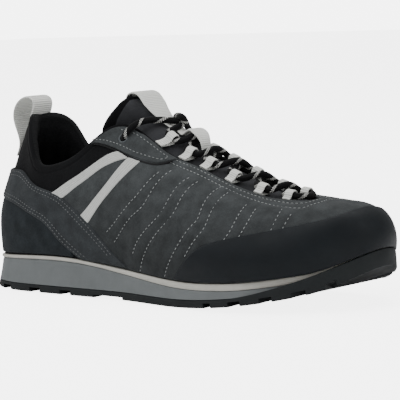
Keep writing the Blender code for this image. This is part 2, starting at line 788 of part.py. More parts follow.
def grid_normals(grid):
    """Normals of a grid of points, by the steps to its neighbours."""
    along = np.gradient(grid, axis=0)
    across = np.gradient(grid, axis=1)
    normals = np.cross(across, along)
    return normals / np.linalg.norm(normals, axis=-1, keepdims=True)


def refine(grid, factor):
    """A grid with more rows, read from splines through the given ones."""
    rows, columns = grid.shape[:2]
    read = spline(np.arange(rows), grid.reshape(rows, -1))
    finer = read(np.linspace(0, rows - 1, (rows - 1) * factor + 1))
    return finer.reshape(-1, columns, 3)


def build_tongue(finishes):
    outer = refine(tongue_sections(), 2)
    thickness = np.full(outer.shape[:2], TONGUE_THICKNESS)
    thickness[:, [0, -1]] *= 0.4
    thickness[[0, -1], :] *= 0.5
    inner = outer - grid_normals(outer) * thickness[..., None]
    return grid_slab("tongue", finishes["tongue"], outer, inner)


def ribbon(name, material, path, widths, thickness):
    """A webbing strip with its widths across the shoe, along a path in the plane of symmetry."""
    path = np.asarray(path)
    widths = np.broadcast_to(widths, len(path))[:, None]
    ahead = np.gradient(path, axis=0)
    side = np.array([0, 1, 0])
    normals = np.cross(ahead, side)
    normals /= np.linalg.norm(normals, axis=1, keepdims=True)
    corners = []
    for height, edge in ((0.5, -0.5), (0.5, 0.5), (-0.5, 0.5), (-0.5, -0.5)):
        corners.append(path + normals * height * thickness + side * edge * widths)
    points = np.stack(corners, axis=1).reshape(-1, 3)
    faces = ring_faces(len(path), 4)
    last = 4 * (len(path) - 1)
    faces += [(3, 2, 1, 0), (last, last + 1, last + 2, last + 3)]
    return add_object(name, points, faces, material)


def folds(table, steps):
    points = np.array([(f.along * SOLE_LENGTH, 0, f.up * COLLAR_HEIGHT) for f in table])
    return spline(np.arange(len(points)), points)(np.linspace(0, len(points) - 1, steps + 1))


def build_webbing(finishes):
    rises = np.array(PULL_LOOP_SEAM)
    seam = outer_face(np.zeros(2), rises)
    seam += outer_normals(np.zeros(2), rises) * (OVERLAY_GAP + WEBBING / 2)
    loop = np.vstack([seam, folds(PULL_LOOP, 12)])
    ribbon("pull_loop", finishes["webbing"], loop, PULL_LOOP_WIDTH, WEBBING)
    seat = TONGUE_GAP + WEBBING / 2
    keeper = [over_tongue(row.turn, 0, seat + row.lift * 2 * LACE_RADIUS) for row in KEEPER]
    loop = folds(TONGUE_LOOP, 14)
    path = np.vstack([keeper, loop]) * (1, 0, 1)
    flare = KEEPER[-1].width * KEEPER_WIDTH
    widths = [row.width * KEEPER_WIDTH for row in KEEPER]
    widths += list(np.interp(np.arange(len(loop)), [-1, 4], [flare, TONGUE_LOOP_WIDTH]))
    ribbon("tongue_loop", finishes["webbing"], path, widths, WEBBING)


def throat_frame(turn):
    """Middle of the throat at a turn, half its width, its normal and its direction forward."""
    lateral, medial = inner_face([turn, -turn], [1, 1], TONGUE_GAP)
    ahead = inner_face([turn + 0.1, -turn - 0.1], [1, 1], TONGUE_GAP).mean(axis=0)
    mid, half = (lateral + medial) / 2, (medial - lateral) / 2
    forward = (ahead - mid) / np.linalg.norm(ahead - mid)
    normal = np.cross(forward, half)
    return mid, half, normal / np.linalg.norm(normal), forward


CROWN = spline([r.turn for r in reversed(THROAT)], [r[2:] for r in reversed(THROAT)])


def over_tongue(turn, across, lift):
    """A point over the tongue, across from -1 at the lateral to 1 at the medial edge."""
    mid, half, normal, _ = throat_frame(turn)
    along, up = CROWN(turn)[0]
    crown = np.array([along * SOLE_LENGTH, mid[1], up * COLLAR_HEIGHT]) - mid
    return mid + half * across + crown * (1 - across**2) + normal * lift


LOOP_RADIUS = LACE_RADIUS + LACE_GAP + LACE_LOOP_TAPE
LOOP_LIFT = LOOP_RADIUS + TONGUE_GAP
STRIP_LIFT = TONGUE_GAP + WEBBING + STRIP_GAP + LACE_RADIUS
CROSSING_LIFT = 2 * LACE_RADIUS + LACE_GAP


def lace_points():
    """The lace's route: from one top eyelet down through the loops, and back up to the other."""
    turns = (EYELET[0] + 0.2, *LACE_LOOP_TURNS)
    last = len(turns) - 1
    reach = LACE_LOOP_WIDTH / 2 + 2 * LACE_GAP
    route = []
    for way in (-1, 1):
        turn, rise = -way * EYELET[0], EYELET[1]
        at, normal = outer_face(turn, rise), outer_normals(turn, rise)
        leg = [at - normal * LACE_RADIUS / 2, at + normal * (LACE_RADIUS + 3 * OVERLAY_THICKNESS)]
        leg.append(over_tongue(EYELET[0] + 0.3, way * 0.8, STRIP_LIFT + 2 * LACE_RADIUS))
        for k in range(1, last + 1):
            side = way * (-1) ** k * -1
            over = (k % 2 == 0) == (way < 0)
            lift = STRIP_LIFT + LACE_RADIUS if k == 1 else LACE_RADIUS + 2 * LACE_GAP
            middle = (turns[k - 1] + turns[k]) / 2
            leg.append(over_tongue(middle, 0, lift + (CROSSING_LIFT if over else 0)))
            centre = over_tongue(turns[k], side * LOOP_REACH, LOOP_LIFT)
            forward = throat_frame(turns[k])[3]
            leg += [centre - forward * reach, centre, centre + forward * reach]
        route += leg if way < 0 else leg[::-1]
    return np.array(route)


def build_lace(finishes):
    route = lace_points()
    gaps = np.linalg.norm(np.diff(route, axis=0), axis=1)
    knots = np.append(0, np.cumsum(gaps))
    stops = [0]
    for start, gap in zip(knots, gaps):
        parts = max(1, round(gap / LACE_STEP))
        stops += [start + gap * part / parts for part in range(1, parts + 1)]
    points = spline(knots, route)(stops) - (HEEL_CENTRE, 0, 0)
    curve = bpy.data.curves.new("lace", "CURVE")
    curve.dimensions = "3D"
    line = curve.splines.new("POLY")
    line.points.add(len(points) - 1)
    for point, place in zip(line.points, points):
        point.co = (*place, 1)
    curve.bevel_depth = LACE_RADIUS
    curve.bevel_resolution = 2
    curve.use_fill_caps = True
    curve.materials.append(finishes["lace"])
    lace = bpy.data.objects.new("lace", curve)
    bpy.context.scene.collection.objects.link(lace)


def lace_loop(name, material, turn, side):
    """A webbing loop that comes off the throat's edge and closes round the lace."""
    centre = over_tongue(turn, side * LOOP_REACH, LOOP_LIFT)
    mid, _, _, forward = throat_frame(turn)
    outer, inner = outer_face(-side * turn, 1), inner_face(-side * turn, 1)
    edge = (outer + inner) / 2
    inward = centre - edge
    inward -= forward * np.dot(inward, forward)
    inward /= np.linalg.norm(inward)
    raised = np.cross(inward, forward)
    raised = raised if raised[2] > 0 else -raised
    tip = edge + inward * (WALL + LACE_LOOP_TAPE) / 2 + raised * WALL / 2
    rings = []
    for radius, root in ((LOOP_RADIUS, LACE_LOOP_TAPE), (LOOP_RADIUS - LACE_LOOP_TAPE, 0.2 * MM)):
        ring = []
        for angle in np.radians((-105, -63, -21, 21, 63, 105)):
            ring.append(centre + inward * radius * math.cos(angle) + raised * radius * math.sin(angle))
        foot = tip if radius == LOOP_RADIUS else tip + inward * 2 * LACE_LOOP_TAPE
        ring += [foot + raised * root, foot - raised * root]
        rings.append(np.array(ring))
    half = forward * LACE_LOOP_WIDTH / 2
    points = np.vstack([rings[0] - half, rings[0] + half, rings[1] + half, rings[1] - half])
    faces = ring_faces(4, 8)
    faces += [(24 + i, 24 + (i + 1) % 8, (i + 1) % 8, i) for i in range(8)]
    add_object(name, points, faces, material)


def build_lace_loops(finishes):
    for label, side in (("lateral", -1), ("medial", 1)):
        for k, turn in enumerate(LACE_LOOP_TURNS):
            lace_loop(f"lace_loop_{label}_{k + 1}", finishes["webbing"], turn, side)


def build_eyelet_cutters(finishes):
    for label, side in (("lateral", 1), ("medial", -1)):
        turn, rise = side * EYELET[0], EYELET[1]
        at, normal = outer_face(turn, rise), outer_normals(turn, rise)
        first = np.cross(normal, (0, 0, 1))
        first /= np.linalg.norm(first)
        second = np.cross(normal, first)
        rings = []
        for depth in (-2.5 * WALL, 2.5 * WALL):
            for i in range(EYELET_SIDES):
                angle = math.tau * i / EYELET_SIDES
                radial = first * math.cos(angle) + second * math.sin(angle)
                rings.append(at + normal * depth + radial * EYELET_RADIUS)
        faces = ring_faces(2, EYELET_SIDES)
        faces.append(tuple(range(EYELET_SIDES - 1, -1, -1)))
        faces.append(tuple(range(EYELET_SIDES, 2 * EYELET_SIDES)))
        made = add_object("eyelet_cutter_" + label, rings, faces, finishes["suede"])
        made.hide_render = True
        made.display_type = "WIRE"


def main():
    for old in list(bpy.data.objects):
        bpy.data.objects.remove(old)
    finishes = {
        "outsole": finish("outsole_rubber", (0.03, 0.03, 0.032), 0.6),
        "midsole": finish("midsole_foam", (0.16, 0.18, 0.18), 0.6),
        "strip": finish("strip_foam", (0.42, 0.42, 0.38), 0.6),
        "insole": finish("insole_fabric", (0.02, 0.02, 0.022), 0.9),
        "suede": finish("grey_suede", (0.06, 0.065, 0.068), 0.9),
        "panel": finish("panel_suede", (0.065, 0.07, 0.072), 0.9),
        "counter": finish("counter_suede", (0.02, 0.025, 0.028), 0.9),
        "band": finish("band_suede", (0.035, 0.04, 0.042), 0.9),
        "rand": finish("rand_rubber", (0.014, 0.018, 0.02), 0.55),
        "pale": finish("pale_microfibre", (0.5, 0.5, 0.48), 0.7),
        "tongue": finish("tongue_fabric", (0.025, 0.025, 0.027), 0.9),
        "webbing": finish("light_webbing", (0.6, 0.6, 0.57), 0.85),
        "lace": finish("lace_cord", (0.01, 0.01, 0.012), 0.8),
    }
    build_sole(finishes)
    build_eyelet_cutters(finishes)
    upper = build_upper(finishes)
    for label in ("lateral", "medial"):
        cut(upper, bpy.data.objects["eyelet_cutter_" + label])
    build_overlays(finishes)
    build_tongue(finishes)
    build_webbing(finishes)
    build_lace_loops(finishes)
    build_lace(finishes)


main()
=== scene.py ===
"""Dresses the approach shoe: upper, overlays, stitches, tongue, webbing, lace, sole and studio.

Lengths are metres. Inside the functions x runs from the back of the heel; the finished pieces stand
in the frame, whose origin is on the ground under the centre of the heel.
"""

import math
from typing import NamedTuple

import bpy
import numpy as np
from mathutils import Matrix, Vector, kdtree


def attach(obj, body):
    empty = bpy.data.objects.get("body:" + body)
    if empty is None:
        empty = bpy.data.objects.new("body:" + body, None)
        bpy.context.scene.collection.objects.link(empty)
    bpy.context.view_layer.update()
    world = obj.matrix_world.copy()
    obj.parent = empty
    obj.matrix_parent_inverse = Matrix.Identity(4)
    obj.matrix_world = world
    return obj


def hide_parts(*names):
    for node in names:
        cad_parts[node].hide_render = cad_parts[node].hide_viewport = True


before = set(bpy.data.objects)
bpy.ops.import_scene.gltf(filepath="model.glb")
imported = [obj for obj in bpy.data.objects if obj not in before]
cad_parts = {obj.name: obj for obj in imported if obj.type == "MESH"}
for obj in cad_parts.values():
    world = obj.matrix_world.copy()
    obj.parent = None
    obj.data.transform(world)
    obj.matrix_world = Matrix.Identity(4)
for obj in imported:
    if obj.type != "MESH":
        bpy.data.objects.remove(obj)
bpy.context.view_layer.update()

bl_info = {
    "name": "Approach Shoe",
    "version": (1, 0, 0),
    "blender": (4, 5, 0),
    "location": "View3D > Sidebar > Shoe",
    "description": "Dresses an approach shoe with suede, rubber, webbing and lace",
    "category": "Object",
}

MM = 0.001

# Driving sizes of the shoe
SOLE_LENGTH = 297 * MM
BALL_WIDTH = 104 * MM
COLLAR_HEIGHT = 104 * MM
SOLE_HEIGHT = 22 * MM
HEEL_CENTRE = 36 * MM

# Outsole, midsole and insole
OUTSOLE_THICKNESS = 4.8 * MM
TOE_SPRING = 18 * MM
TIP_KICK = 8 * MM
HEEL_KICK = 2.6 * MM
TREAD_BEVEL = 1.2 * MM
LIP_THICKNESS = 2 * MM
HEEL_FLARE = 4.6 * MM
TOE_FLARE = 2.4 * MM
LUG_DEPTH = 3 * MM
GROOVE_WIDTH = 4 * MM
INSOLE_THICKNESS = 4 * MM
INSOLE_BEVEL = 0.6 * MM
LEAST_STRIP = 1 * MM

# Shares of the sole's flare: how far the outsole's edge stands out, and how far the strip stays in
EDGE_SHARE = 0.85
NECK_SHARE = 0.6

# Upper, tongue and what is sewn on them
WALL = 2.4 * MM
COLLAR_PAD = 4.6 * MM
TONGUE_THICKNESS = 4.2 * MM
OVERLAY_THICKNESS = 1.2 * MM
WEBBING = 1.3 * MM
PULL_LOOP_WIDTH = 17.5 * MM
TONGUE_LOOP_WIDTH = 20 * MM
KEEPER_WIDTH = 13 * MM
LACE_LOOP_WIDTH = 5.4 * MM
LACE_LOOP_TAPE = 1 * MM
LACE_RADIUS = 2 * MM
EYELET_RADIUS = 2.6 * MM

# Clearances
SEAM = 0.3 * MM
OVERLAY_GAP = 0.65 * MM
TONGUE_GAP = 0.8 * MM
LACE_GAP = 0.5 * MM
STRIP_GAP = 0.3 * MM

# Points of a mesh closer than this are merged
WELD = 0.02 * MM
FINE_WELD = 0.01 * MM

# How high an overlay's underside lies over the inner shoe's outer face
OVERLAY_BASE = 0.1 * MM
STRAP_BASE = 0.35 * MM
PANEL_BASE = 0.4 * MM

# Thicknesses of the overlays
COUNTER_SUEDE = 1.1 * MM
BAND_SUEDE = 2.0 * MM
RAND_RUBBER = 2.1 * MM
REAR_STRAP = 1.3 * MM
FRONT_STRAP = 1.25 * MM
PANEL_SUEDE = 1.5 * MM

# The vamp's suede: rise of its lowest edge, its soft swelling, and how deep it may sink
FEATHER_RISE = 0.006
VAMP_SWELL = 0.34 * MM
VAMP_DEEPEST = -0.6 * MM

# How far the rear corners of the collar's rim are rounded off
CORNER_DROP = 2.2 * MM

# Stitches and the eyestay's dark edge cord, partly black edging and partly painted shadow: heights over the
# inner shoe, and how deep a stitch sits in the vamp's suede
BAND_STITCH_LIFT = 2.02 * MM
PANEL_STITCH_LIFT = 1.92 * MM
EDGING_SHADOW_LIFT = 0.9 * MM
VAMP_STITCH_SINK = 0.36 * MM

# Radii of the round pieces: the eyestay's dark edge cord, which is partly painted shadow, the tongue's
# binding and the eyelet rim
EDGING_SHADOW_RADIUS = 0.75 * MM
BINDING_RADIUS = 1.55 * MM
EYELET_RIM_RADIUS = 0.5 * MM

# Rounded edges of the sole, and the strip's outward swell
EDGE_ROUND = 0.5 * MM
MIDSOLE_ROUND = 0.6 * MM
STRIP_SWELL = 0.55 * MM


class Lamp(NamedTuple):
    """A round soft lamp of the studio."""

    name: str
    place: tuple
    size: float
    watts: float


# The studio: its glow is seen by the camera alone, and its light also falls on the shoe
SHOE_MIDDLE = (0.114, 0, 0.05)
FLOOR_GLOW = 4.6
SKY_GLOW = 5.5
SKY_LIGHT = 0.42
LAMPS = (
    Lamp("key_light", (0.3, -1.5, 1.9), 1.6, 22),
    Lamp("heel_light", (-1.4, -0.9, 1.1), 1.2, 6),
    Lamp("top_light", (0.2, 0.4, 2.2), 2.0, 22),
    Lamp("toe_light", (1.7, 0.2, 0.9), 1.0, 5),
)


class Section(NamedTuple):
    """One section of the last, from the feather line over the wall to the top edge."""

    along: float  # feather line, share of SOLE_LENGTH from the back of the heel
    side: float  # feather line, share of BALL_WIDTH from the axis
    top_along: float  # top edge, share of SOLE_LENGTH
    top_side: float  # top edge, share of BALL_WIDTH
    top: float  # top edge, share of COLLAR_HEIGHT
    low_out: float  # swell of the low wall off the chord, share of BALL_WIDTH
    mid_up: float  # middle of the wall, share of the way up the chord
    mid_out: float
    high_up: float  # shoulder, share of the way up the chord
    high_out: float


# Where the swell of the low wall sits, share of the way up the chord
LOW_UP = 0.28

# The sections run from the back of the heel along each side to the tip of the toe
HEEL_BACK = Section(0.026, 0.000, 0.091, 0.000, 1.048, 0.062, 0.52, 0.066, 0.80, 0.030)
TOE_TIP = Section(0.990, 0.070, 0.845, 0.020, 0.587, 0.130, 0.66, 0.245, 0.90, 0.208)

LATERAL = (
    Section(0.040, 0.190, 0.114, 0.135, 1.038, 0.058, 0.52, 0.050, 0.80, 0.018),
    Section(0.101, 0.298, 0.136, 0.212, 0.950, 0.034, 0.52, 0.020, 0.80, 0.000),
    Section(0.185, 0.327, 0.172, 0.276, 0.784, 0.030, 0.54, 0.022, 0.80, 0.008),
    Section(0.286, 0.337, 0.236, 0.288, 0.760, 0.026, 0.56, 0.014, 0.82, 0.006),
    Section(0.377, 0.346, 0.308, 0.276, 0.846, 0.032, 0.58, 0.026, 0.84, 0.012),
    Section(0.455, 0.365, 0.370, 0.202, 0.986, 0.050, 0.58, 0.050, 0.84, 0.030),
    Section(0.522, 0.404, 0.431, 0.168, 0.990, 0.066, 0.58, 0.070, 0.84, 0.042),
    Section(0.599, 0.447, 0.512, 0.163, 0.856, 0.080, 0.60, 0.086, 0.86, 0.055),
    Section(0.684, 0.471, 0.599, 0.154, 0.765, 0.095, 0.62, 0.118, 0.87, 0.085),
    Section(0.768, 0.462, 0.690, 0.139, 0.663, 0.110, 0.64, 0.148, 0.88, 0.105),
    Section(0.852, 0.394, 0.774, 0.115, 0.600, 0.115, 0.64, 0.180, 0.88, 0.140),
    Section(0.926, 0.260, 0.828, 0.062, 0.582, 0.108, 0.66, 0.205, 0.90, 0.180),
)

MEDIAL = (
    Section(0.040, 0.183, 0.116, 0.144, 1.045, 0.058, 0.52, 0.050, 0.80, 0.018),
    Section(0.101, 0.288, 0.139, 0.212, 0.975, 0.034, 0.52, 0.020, 0.80, 0.000),
    Section(0.185, 0.308, 0.172, 0.260, 0.798, 0.030, 0.54, 0.022, 0.80, 0.008),
    Section(0.286, 0.288, 0.236, 0.279, 0.779, 0.026, 0.56, 0.014, 0.82, 0.006),
    Section(0.377, 0.269, 0.311, 0.260, 0.865, 0.028, 0.58, 0.024, 0.84, 0.012),
    Section(0.455, 0.269, 0.374, 0.212, 0.990, 0.040, 0.58, 0.044, 0.84, 0.028),
    Section(0.529, 0.298, 0.434, 0.173, 0.990, 0.052, 0.58, 0.060, 0.84, 0.040),
    Section(0.613, 0.365, 0.515, 0.163, 0.856, 0.070, 0.60, 0.078, 0.86, 0.052),
    Section(0.707, 0.442, 0.603, 0.163, 0.765, 0.090, 0.62, 0.110, 0.87, 0.080),
    Section(0.801, 0.462, 0.694, 0.154, 0.663, 0.110, 0.64, 0.148, 0.88, 0.105),
    Section(0.892, 0.400, 0.778, 0.135, 0.600, 0.118, 0.64, 0.195, 0.88, 0.150),
    Section(0.958, 0.275, 0.828, 0.087, 0.582, 0.115, 0.66, 0.222, 0.90, 0.192),
)


class SoleRow(NamedTuple):
    """The sole's side at one place along it, as shares of SOLE_HEIGHT."""

    along: float  # share of SOLE_LENGTH
    wrap: float  # how far the outsole turns up round the midsole
    midsole: float  # top edge of the midsole above the tread
    feather: float  # top of the sole above the tread


SOLE_SIDE = (
    SoleRow(0.00, 0.04, 0.78, 0.90),
    SoleRow(0.06, 0.00, 0.84, 0.96),
    SoleRow(0.14, 0.00, 0.89, 1.02),
    SoleRow(0.24, 0.00, 0.91, 1.05),
    SoleRow(0.33, 0.00, 0.86, 1.00),
    SoleRow(0.42, 0.00, 0.72, 0.88),
    SoleRow(0.52, 0.00, 0.60, 0.77),
    SoleRow(0.64, 0.00, 0.50, 0.68),
    SoleRow(0.76, 0.01, 0.42, 0.61),
    SoleRow(0.86, 0.14, 0.36, 0.55),
    SoleRow(0.94, 0.26, 0.32, 0.50),
    SoleRow(1.00, 0.24, 0.30, 0.47),
)
# Shares of SOLE_LENGTH where the toe spring, the kick of the tip and the heel's bevel begin or end
SPRING_START = 0.58
TIP_START = 0.89
HEEL_KICK_END = 0.055


class Notch(NamedTuple):
    """A pair of notches between the lugs at the edges of the tread."""

    along: float  # middle, share of SOLE_LENGTH
    width: float  # share of SOLE_LENGTH
    reach: float  # how far in it is cut, share of the half width
    depth: float  # share of LUG_DEPTH
    slant: float  # turn in plan, radians


NOTCHES = (
    Notch(0.094, 0.032, 0.62, 1.0, 0.12),
    Notch(0.190, 0.032, 0.62, 1.0, 0.12),
    Notch(0.282, 0.031, 0.60, 1.0, 0.12),
    Notch(0.404, 0.086, 0.40, 0.6, 0.00),
    Notch(0.697, 0.018, 0.58, 1.0, -0.12),
    Notch(0.761, 0.027, 0.60, 1.0, -0.16),
    Notch(0.826, 0.026, 0.62, 1.0, -0.20),
    Notch(0.886, 0.027, 0.62, 1.0, -0.26),
    Notch(0.938, 0.020, 0.60, 0.9, -0.34),
)
# Cross grooves by share of SOLE_LENGTH, and their reach by share of BALL_WIDTH
GROOVES = (0.155, 0.240, 0.330, 0.482, 0.600, 0.655, 0.730, 0.795, 0.857, 0.912)
GROOVE_REACH = 0.34


class Edge(NamedTuple):
    """Lower and upper edge of an overlay, by turn round the last and rise up its wall."""

    low_turn: float
    low_rise: float
    high_turn: float
    high_rise: float


HEEL_COUNTER = (
    Edge(0.00, 0.012, 0.00, 0.395),
    Edge(1.50, 0.012, 1.58, 0.385),
    Edge(2.60, 0.012, 2.62, 0.393),
    Edge(3.30, 0.012, 3.34, 0.335),
    Edge(3.72, 0.012, 3.74, 0.170),
    Edge(4.15, 0.012, 4.05, 0.055),
)
HEEL_BAND = (
    Edge(0.00, 0.420, 0.00, 0.590),
    Edge(1.58, 0.410, 1.34, 0.610),
    Edge(2.62, 0.418, 2.86, 0.715),
    Edge(3.40, 0.360, 3.78, 0.665),
    Edge(3.83, 0.190, 4.40, 0.520),
    Edge(4.14, 0.080, 5.05, 0.315),
    Edge(4.32, 0.035, 5.71, 0.105),
    Edge(4.48, 0.012, 6.20, 0.020),
)
STRAP_REAR = (
    Edge(4.05, 0.562, 3.78, 0.652),
    Edge(4.68, 0.620, 4.38, 0.715),
    Edge(5.19, 0.637, 4.93, 0.730),
    Edge(5.70, 0.640, 5.50, 0.722),
    Edge(6.25, 0.650, 5.98, 0.722),
    Edge(6.98, 0.692, 6.50, 0.730),
)
STRAP_FRONT = (
    Edge(4.88, 0.305, 4.70, 0.385),
    Edge(5.34, 0.383, 5.16, 0.452),
    Edge(5.74, 0.440, 5.56, 0.497),
    Edge(6.16, 0.488, 5.92, 0.537),
    Edge(6.61, 0.542, 6.26, 0.580),
    Edge(7.04, 0.614, 6.60, 0.632),
    Edge(7.42, 0.722, 6.96, 0.700),
)
EYESTAY = (
    Edge(5.52, 0.950, 5.40, 0.975),
    Edge(6.10, 0.785, 5.90, 0.975),
    Edge(6.90, 0.718, 6.70, 0.975),
    Edge(7.41, 0.730, 7.30, 0.975),
    Edge(7.93, 0.795, 7.90, 0.975),
    Edge(8.28, 0.925, 8.42, 0.975),
)
TOE_RAND = (
    Edge(8.17, 0.012, 8.22, 0.030),
    Edge(8.79, 0.012, 8.79, 0.175),
    Edge(9.36, 0.012, 9.36, 0.295),
    Edge(9.98, 0.012, 9.98, 0.375),
    Edge(10.6, 0.012, 10.6, 0.445),
    Edge(11.5, 0.012, 11.5, 0.530),
    Edge(12.4, 0.012, 12.4, 0.590),
    Edge(13.0, 0.012, 13.0, 0.660),
)


class ThroatRow(NamedTuple):
    """The tongue under the throat: its edges follow the upper's lining at this turn."""

    turn: float
    overlap: float  # lowest rise that the tongue reaches under the eyestay
    along: float  # top of the crown, share of SOLE_LENGTH
    up: float  # top of the crown, share of COLLAR_HEIGHT


THROAT = (
    ThroatRow(12.5, 0.90, 0.8420, 0.564),
    ThroatRow(12.0, 0.88, 0.8300, 0.580),
    ThroatRow(11.0, 0.84, 0.7780, 0.600),
    ThroatRow(10.0, 0.80, 0.6950, 0.672),
    ThroatRow(9.20, 0.80, 0.6260, 0.756),
    ThroatRow(8.60, 0.80, 0.5780, 0.816),
    ThroatRow(8.00, 0.80, 0.5350, 0.890),
    ThroatRow(7.50, 0.82, 0.5090, 0.945),
    ThroatRow(7.00, 0.84, 0.4820, 0.990),
    ThroatRow(6.50, 0.88, 0.4560, 1.030),
)


class TongueRow(NamedTuple):
    """The free top of the tongue: its edges and the top of its crown."""

    edge_along: float  # share of SOLE_LENGTH
    edge_side: float  # share of BALL_WIDTH
    edge_up: float  # share of COLLAR_HEIGHT
    along: float
    up: float


TONGUE_TOP = (
    TongueRow(0.340, 0.148, 0.935, 0.4490, 1.040),
    TongueRow(0.350, 0.160, 1.010, 0.4410, 1.066),
    TongueRow(0.376, 0.166, 1.078, 0.4300, 1.106),
    TongueRow(0.394, 0.142, 1.134, 0.4170, 1.144),
    TongueRow(0.402, 0.098, 1.160, 0.4060, 1.168),
)


class Fold(NamedTuple):
    """A point of a webbing strip's middle line in the plane of symmetry."""

    along: float  # share of SOLE_LENGTH
    up: float  # share of COLLAR_HEIGHT


PULL_LOOP = (
    Fold(0.0560, 0.955),
    Fold(0.0490, 1.010),
    Fold(0.0480, 1.065),
    Fold(0.0570, 1.120),
    Fold(0.0750, 1.158),
    Fold(0.0950, 1.166),
    Fold(0.1090, 1.138),
    Fold(0.1070, 1.085),
    Fold(0.1000, 1.050),
)
# Rises between which the pull loop is sewn down
PULL_LOOP_SEAM = (0.66, 0.74)


class KeeperRow(NamedTuple):
    """The keeper, the strip that runs on below the tongue loop and arches over the lace."""

    turn: float
    lift: float  # middle line above the tongue, in lace diameters over its own seat
    width: float  # share of KEEPER_WIDTH


KEEPER = (
    KeeperRow(8.60, 0.00, 0.62),
    KeeperRow(8.52, 0.15, 0.62),
    KeeperRow(8.45, 0.80, 0.66),
    KeeperRow(8.38, 1.45, 0.74),
    KeeperRow(8.28, 1.88, 0.88),
    KeeperRow(8.09, 2.06, 1.00),
    KeeperRow(7.91, 1.88, 0.88),
    KeeperRow(7.81, 1.50, 0.74),
    KeeperRow(7.72, 0.80, 0.66),
    KeeperRow(7.62, 0.05, 0.62),
    KeeperRow(7.46, 0.00, 0.62),
    KeeperRow(7.30, 0.00, 0.64),
)
TONGUE_LOOP = (
    Fold(0.4840, 0.997),
    Fold(0.4630, 1.046),
    Fold(0.4430, 1.104),
    Fold(0.4260, 1.164),
    Fold(0.4150, 1.188),
    Fold(0.4040, 1.195),
    Fold(0.3930, 1.186),
    Fold(0.3870, 1.160),
    Fold(0.3880, 1.130),
)
# Turns of the lace loops, their place by share of the throat's half width, and the eyelet's turn and rise
LACE_LOOP_TURNS = (7.73, 8.45, 9.06, 9.74, 10.52, 11.40)
LOOP_REACH = 0.68
EYELET = (6.70, 0.845)


def spline(knots, values, period=None):
    """A cubic spline through values at knots: natural ends, or closed with a period."""
    knots = np.asarray(knots, float)
    values = np.asarray(values, float)
    if period is not None:
        knots = np.append(knots, knots[0] + period)
        values = np.vstack([values, values[:1]])
    steps = np.diff(knots)[:, None]
    slopes = np.diff(values, axis=0) / steps
    count = len(knots)
    system = np.eye(count)
    right = np.zeros_like(values)
    for i in range(1, count - 1):
        before, after = steps[i - 1, 0], steps[i, 0]
        system[i, i - 1 : i + 2] = before, 2 * (before + after), after
        right[i] = 6 * (slopes[i] - slopes[i - 1])
    if period is not None:
        system[0, :] = 0
        before, after = steps[-1, 0], steps[0, 0]
        system[0, [0, 1, count - 2]] = 2 * (before + after), after, before
        right[0] = 6 * (slopes[0] - slopes[-1])
        system[-1, 0] = -1
    bends = np.linalg.solve(system, right)

    def read(at):
        at = np.atleast_1d(np.asarray(at, float))
        if period is not None:
            at = knots[0] + np.mod(at - knots[0], period)
        i = np.clip(np.searchsorted(knots, at, side="right") - 1, 0, count - 2)
        h = steps[i]
        a = (knots[i + 1] - at)[:, None] / h
        b = 1 - a
        cubic = ((a**3 - a) * bends[i] + (b**3 - b) * bends[i + 1]) * h**2 / 6
        return a * values[i] + b * values[i + 1] + cubic

    return read


def smoothstep(low, high, at):
    """A soft step from 0 at low to 1 at high."""
    t = np.clip((np.asarray(at, float) - low) / (high - low), 0, 1)
    return t * t * (3 - 2 * t)


LAST_ROWS = np.array(
    [HEEL_BACK]
    + [s._replace(side=-s.side, top_side=-s.top_side) for s in LATERAL]
    + [TOE_TIP]
    + list(reversed(MEDIAL))
)
TOE = len(LATERAL) + 1
ROUND = len(LAST_ROWS)


def last_spline():
    """The closed spline round the last, and the girth at which each section stands."""
    feet = LAST_ROWS[:, :2] * (SOLE_LENGTH, BALL_WIDTH)
    gaps = np.hypot(*(np.roll(feet, -1, axis=0) - feet).T)
    girth = np.append(0, np.cumsum(gaps))
    return spline(girth[:-1], LAST_ROWS, period=girth[-1]), girth


LAST, GIRTH = last_spline()
SIDE = spline([r.along for r in SOLE_SIDE], [r[1:] for r in SOLE_SIDE])
PROFILE = spline([0, 0.25, 0.5, 0.75, 1], np.eye(5))


def girth_at(turn):
    """Girth along the last from the heel to a turn, over more laps than one."""
    turn = np.asarray(turn, float)
    laps = np.floor(turn / ROUND)
    return np.interp(turn - laps * ROUND, np.arange(ROUND + 1), GIRTH) + laps * GIRTH[-1]


def tread_height(x):
    """Height of the tread at x from the back of the heel."""
    share = np.clip(x / SOLE_LENGTH, 0, 1)
    spring = TOE_SPRING * (np.clip(share - SPRING_START, 0, None) / (1 - SPRING_START)) ** 2
    tip = TIP_KICK * (np.clip(share - TIP_START, 0, None) / (1 - TIP_START)) ** 2
    heel = HEEL_KICK * (np.clip(HEEL_KICK_END - share, 0, None) / HEEL_KICK_END) ** 2
    return spring + tip + heel


def sole_heights(x):
    """Heights above the ground at x: tread, seat, outsole edge, midsole edge, feather line."""
    edge = np.clip(SIDE(np.clip(x / SOLE_LENGTH, 0, 1)), 0, None) * SOLE_HEIGHT
    tread = tread_height(x)
    seat = tread + OUTSOLE_THICKNESS
    return tread, seat, seat + edge[:, 0], tread + edge[:, 1], tread + edge[:, 2]


def plan_normals(turns):
    """Outward directions in plan at the feather line."""
    step = 0.002 * GIRTH[-1]
    at = girth_at(turns)
    ahead = (LAST(at + step) - LAST(at - step))[:, :2] * (SOLE_LENGTH, BALL_WIDTH)
    outward = np.column_stack([ahead[:, 1], -ahead[:, 0]])
    return outward / np.linalg.norm(outward, axis=1, keepdims=True)


def outline(turns, spread):
    """The feather line in plan, moved outwards by spread."""
    foot = LAST(girth_at(turns))[:, :2] * (SOLE_LENGTH, BALL_WIDTH)
    return foot + plan_normals(turns) * np.reshape(spread, (-1, 1))


